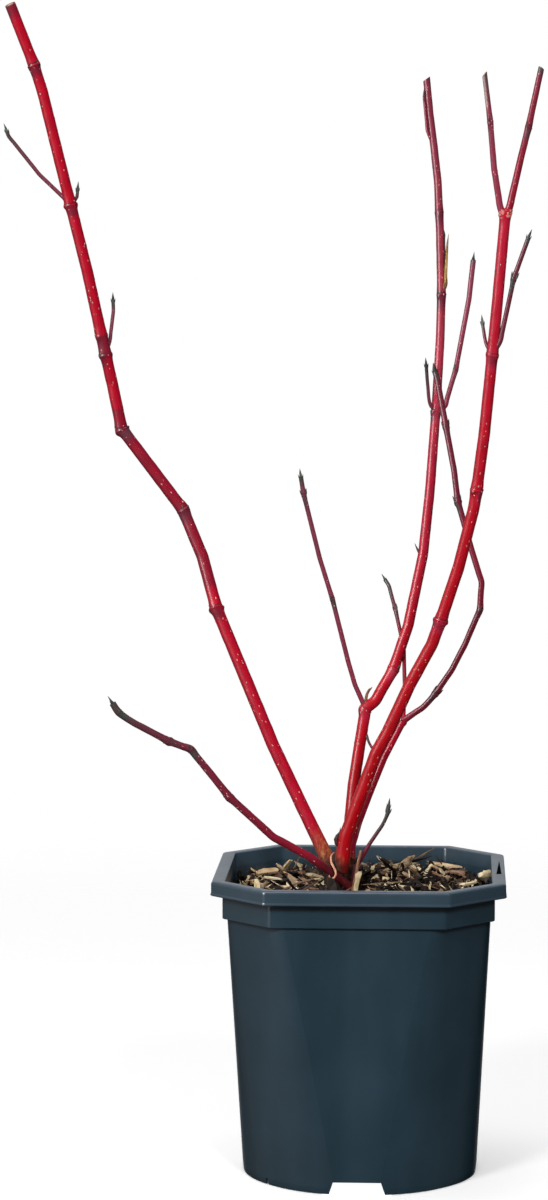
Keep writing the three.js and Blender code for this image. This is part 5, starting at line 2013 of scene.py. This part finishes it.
@dataclass
class Studio:
    """The camera at the photograph's angle, a pale floor and plain soft light."""

    eye: tuple[float, float, float] = (0.0600, -2.3252, 0.5909)
    turn: float = 2.88
    down: float = 5.29
    focal_px: float = 3581.9
    photo_height_px: float = 1200
    sensor: float = 36.0
    floor_radius: float = 1.5
    floor_sides: int = 96
    floor_sunk: float = 0.0004
    floor_fade: tuple[float, float] = (0.45, 0.95)
    floor_tone: float = 0.8
    floor_bounce: float = 0.16
    floor_lift: float = 0.5
    # The half-width of the strip of painted light under the pot's notches, and where it fades.
    notch_painted_light_band: tuple[float, float] = (0.021, 0.024)
    foot_ring: tuple[float, float] = (0.07, 0.08)
    fill_from: tuple[float, float, float] = (-0.66, -0.36, 0.66)
    fill_range: tuple[float, float] = (0.02, 0.24)
    fill_span: tuple[float, float] = (-0.5, 1.0)
    gloss_from: tuple[float, float, float] = (-0.75, -0.15, 0.65)
    gloss_range: tuple[float, float] = (0.0, 0.3)
    backdrop: float = 0.56
    backdrop_edge: tuple[float, float] = (0.88, 0.95)
    panel_end: float = 118
    panel: tuple[float, float] = (0.03, 0.05)
    gap_edge: tuple[float, float] = (-0.03, 0.02)
    right_share: tuple[float, float] = (0.0, 0.3)

    def add_camera(self) -> None:
        """Adds the camera."""
        deselect()
        bpy.ops.object.camera_add(
            location=self.eye, rotation=(math.radians(90 - self.down), 0, math.radians(self.turn))
        )
        camera = bpy.context.object
        camera.name = "camera"
        camera.data.sensor_width = self.sensor
        camera.data.lens = self.focal_px / self.photo_height_px * self.sensor
        camera.data.clip_start = 0.05
        camera.data.clip_end = 50
        bpy.context.scene.camera = camera

    def add_floor(self) -> None:
        """Adds the floor, a pale disc that fades out at its edge, with painted light under the pot in a strip
        through its notches.
        """
        deselect()
        bpy.ops.mesh.primitive_circle_add(
            vertices=self.floor_sides, radius=self.floor_radius, fill_type="NGON",
            location=(0, 0, -self.floor_sunk),
        )
        floor = bpy.context.object
        floor.name = "floor"
        material, tree = new_material("pale_floor")
        place = object_place(tree)
        away = add_node(tree, "ShaderNodeVectorMath", {0: place}, operation="LENGTH").outputs["Value"]
        start, share = self.floor_fade
        fade = rescale(tree, away, (start, self.floor_radius * share), (1.0, 0.0), soft=True)
        sideways = add_node(tree, "ShaderNodeSeparateXYZ", {0: place}).outputs["X"]
        # A strip through the notches under the pot glows twice as strongly as the rest of the floor: painted
        # light where the pot's shade falls.
        notch = rescale(tree, reckon(tree, "ABSOLUTE", sideways), self.notch_painted_light_band, (2.0, 0.0))
        beyond = rescale(tree, away, self.foot_ring)
        glow_with_painted_light = reckon(tree, "MULTIPLY", reckon(tree, "MAXIMUM", notch, beyond), self.floor_lift)
        lift = add_node(tree, "ShaderNodeEmission", {"Color": (1, 1, 1, 1), "Strength": glow_with_painted_light})
        paint, matt = (
            add_node(tree, "ShaderNodeBsdfDiffuse", {"Color": (tone, tone, tone, 1)})
            for tone in (self.floor_tone, self.floor_bounce)
        )
        bright = add_node(tree, "ShaderNodeAddShader", {0: paint.outputs[0], 1: lift.outputs[0]})
        seen = light_path(tree, "Is Camera Ray")
        shown = add_node(tree, "ShaderNodeMixShader", {0: seen, 1: matt.outputs[0], 2: bright.outputs[0]})
        solid = reckon(tree, "SUBTRACT", fade, light_path(tree, "Is Glossy Ray"), clamp=True)
        clear = add_node(tree, "ShaderNodeBsdfTransparent")
        both = add_node(tree, "ShaderNodeMixShader", {0: solid, 1: clear.outputs[0], 2: shown.outputs[0]})
        add_node(tree, "ShaderNodeOutputMaterial", {"Surface": both.outputs[0]})
        floor.data.materials.append(material)

    def add_light(
        self, name: str, place: tuple[float, float, float], size: tuple[float, float], power: float,
        aim: tuple[float, float, float] = (0, 0, 0.3), tint: str = "#ffffff",
    ) -> None:
        """Adds a soft rectangular light.

        Args:
            name: The light's name.
            place: Where it stands, in metres.
            size: Its width and height in metres.
            power: Its power in watts.
            aim: The point that it faces.
            tint: Its colour.
        """
        deselect()
        bpy.ops.object.light_add(type="AREA", location=place)
        lamp = bpy.context.object
        lamp.name = name
        lamp.data.shape = "RECTANGLE"
        lamp.data.size, lamp.data.size_y = size
        lamp.data.energy = power
        lamp.data.color = srgb(tint)[:3]
        lamp.rotation_euler = (Vector(place) - Vector(aim)).to_track_quat("Z", "Y").to_euler()

    def add_panel(self, tree: bpy.types.NodeTree, direction: bpy.types.NodeSocket) -> bpy.types.NodeSocket:
        """Adds a pale surround with a dark gap at the right, which shows only as a reflection.

        Args:
            tree: The world's node tree.
            direction: The direction that is looked in.

        Returns:
            The surround's strength.
        """
        turn = math.radians(self.panel_end)
        far_edge = (math.cos(turn), math.sin(turn), 0)
        past_edge = rescale(tree, facing(tree, direction, far_edge), self.gap_edge)
        rightward = rescale(tree, facing(tree, direction, (1, 0, 0)), self.right_share)
        open_share = reckon(tree, "SUBTRACT", 1.0, reckon(tree, "MULTIPLY", past_edge, rightward))
        shown = reckon(tree, "MULTIPLY", open_share, light_path(tree, "Is Glossy Ray"))
        return reckon(tree, "MULTIPLY", shown, rescale(tree, rightward, (0.0, 1.0), self.panel))

    def add_world(self) -> None:
        """Lights the scene from a white surround, whose fill comes mostly from the left."""
        world = bpy.data.worlds.new("white_surround")
        bpy.context.scene.world = world
        world.use_nodes = True
        tree = world.node_tree
        tree.nodes.clear()
        direction = add_node(tree, "ShaderNodeTexCoord").outputs["Generated"]
        sky = rescale(
            tree, facing(tree, direction, self.fill_from), self.fill_span, self.fill_range, soft=True
        )
        wall = rescale(tree, facing(tree, direction, (0, 1, 0)), self.backdrop_edge, (0.0, self.backdrop))
        sheen = rescale(
            tree, facing(tree, direction, self.gloss_from), (0.0, 1.0), self.gloss_range, soft=True
        )
        around = mix_numbers(tree, light_path(tree, "Is Glossy Ray"), sky, sheen)
        sided = reckon(tree, "ADD", around, self.add_panel(tree, direction))
        total = reckon(tree, "ADD", sided, wall)
        strength = mix_numbers(tree, light_path(tree, "Is Camera Ray"), total, 1.0)
        glow = add_node(tree, "ShaderNodeBackground", {"Color": (1, 1, 1, 1), "Strength": strength})
        add_node(tree, "ShaderNodeOutputWorld", {"Surface": glow.outputs[0]})

    def build(self) -> None:
        """Sets the scene up."""
        bpy.context.scene.view_settings.view_transform = "Standard"
        self.add_camera()
        self.add_floor()
        self.add_world()
        self.add_light("key", (-1.0, -1.75, 1.25), size=(0.5, 0.5), power=24)
        self.add_light("side_strip", (-1.7, -1.35, 1.15), size=(0.6, 1.7), power=56)
        self.add_light("top", (-0.3, 0.3, 2.2), size=(1.2, 1.2), power=14, aim=(0, 0, 0.1))
        self.add_light("fill", (0.7, -1.9, 1.35), size=(0.5, 0.5), power=19)
        for name in ("key", "fill"):
            bpy.data.objects[name].visible_glossy = False
        bpy.data.objects["side_strip"].visible_diffuse = False


def make_finishes() -> dict[str, bpy.types.Material]:
    """Builds every finish once."""
    chips = (
        ("#ac966c", "#e6d2a8", "#fff3d2"), ("#84664a", "#c0a078", "#e2caa4"),
        ("#553a2a", "#85624c", "#a98670"), ("#2f1f17", "#574032", "#7d6050"),
        ("#5a4a3c", "#92795f", "#bba184"), ("#0a0604", "#1a110c", "#38261d"),
    )
    finishes: dict[str, Any] = {
        "bark": StemBark(),
        "fine_bark": StemBark("dogwood_fine_bark", FINE_TONES),
        "rosy_sheen_bark": StemBark("dogwood_rosy_sheen_bark", ROSY_SHEEN_TONES),
        "flushed_sheen_bark": StemBark("dogwood_flushed_sheen_bark", FLUSHED_SHEEN_TONES),
        "tan_wood": Grained("tan_wood", "#6a3c30", "#9a6650", "#c69c7e", 0.5, 0.7, 0.12),
        "dead_wood": Grained("dead_wood", "#5d3a22", "#b08440", "#e2c486", 0.5, 0.7, 0.12),
        "cut_wood": Grained("cut_wood", "#47292a", "#744640", "#a07462", 0.4, 0.75, 0.08),
        "pith": Grained("pith", "#7d5c4c", "#a58570", "#cdb096", 0.5, 0.8, 0.08),
        "bud": Grained("bud_scale", "#252a27", "#454c47", "#70766c", 0.35, 0.6, 0.06),
        "pore": Grained("lenticel_cork", "#bb5a55", "#e59c90", "#f7d2c6", 0.3, 0.75, 0.04),
        "callus": Grained("fork_callus", "#b23a44", "#dd7a72", "#f0a898", 0.5, 0.6, 0.05),
        "peeled": Grained("peeled_bark", "#c06c4c", "#e8a07c", "#f6cfae", 0.5, 0.62, 0.06),
        "knob": Grained("dead_knob", "#1c0c0c", "#4a2220", "#7a4038", 0.5, 0.6, 0.3),
        "cork": CorkCrown(),
        "plastic": MouldedPlastic(),
        "soil": DampSoil(),
    }
    for number, (dark, tone, pale) in enumerate(chips):
        finishes[f"chip_{number}"] = Grained(f"bark_chip_{number}", dark, tone, pale)
    return {name: finish.build() for name, finish in finishes.items()}


def main() -> None:
    """Builds the shrub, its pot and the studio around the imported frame."""
    logging.basicConfig(level=logging.INFO, format="%(name)s: %(message)s")
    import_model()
    studio = Studio()
    studio.build()
    finishes = make_finishes()
    pot = Pot(finishes["plastic"])
    pot.build()
    fill = Fill(pot, finishes)
    fill.build_mix()
    fill.build_mulch()
    Crown(finishes).build()
    Shrub(finishes).build()


if __name__ == "__main__":
    main()
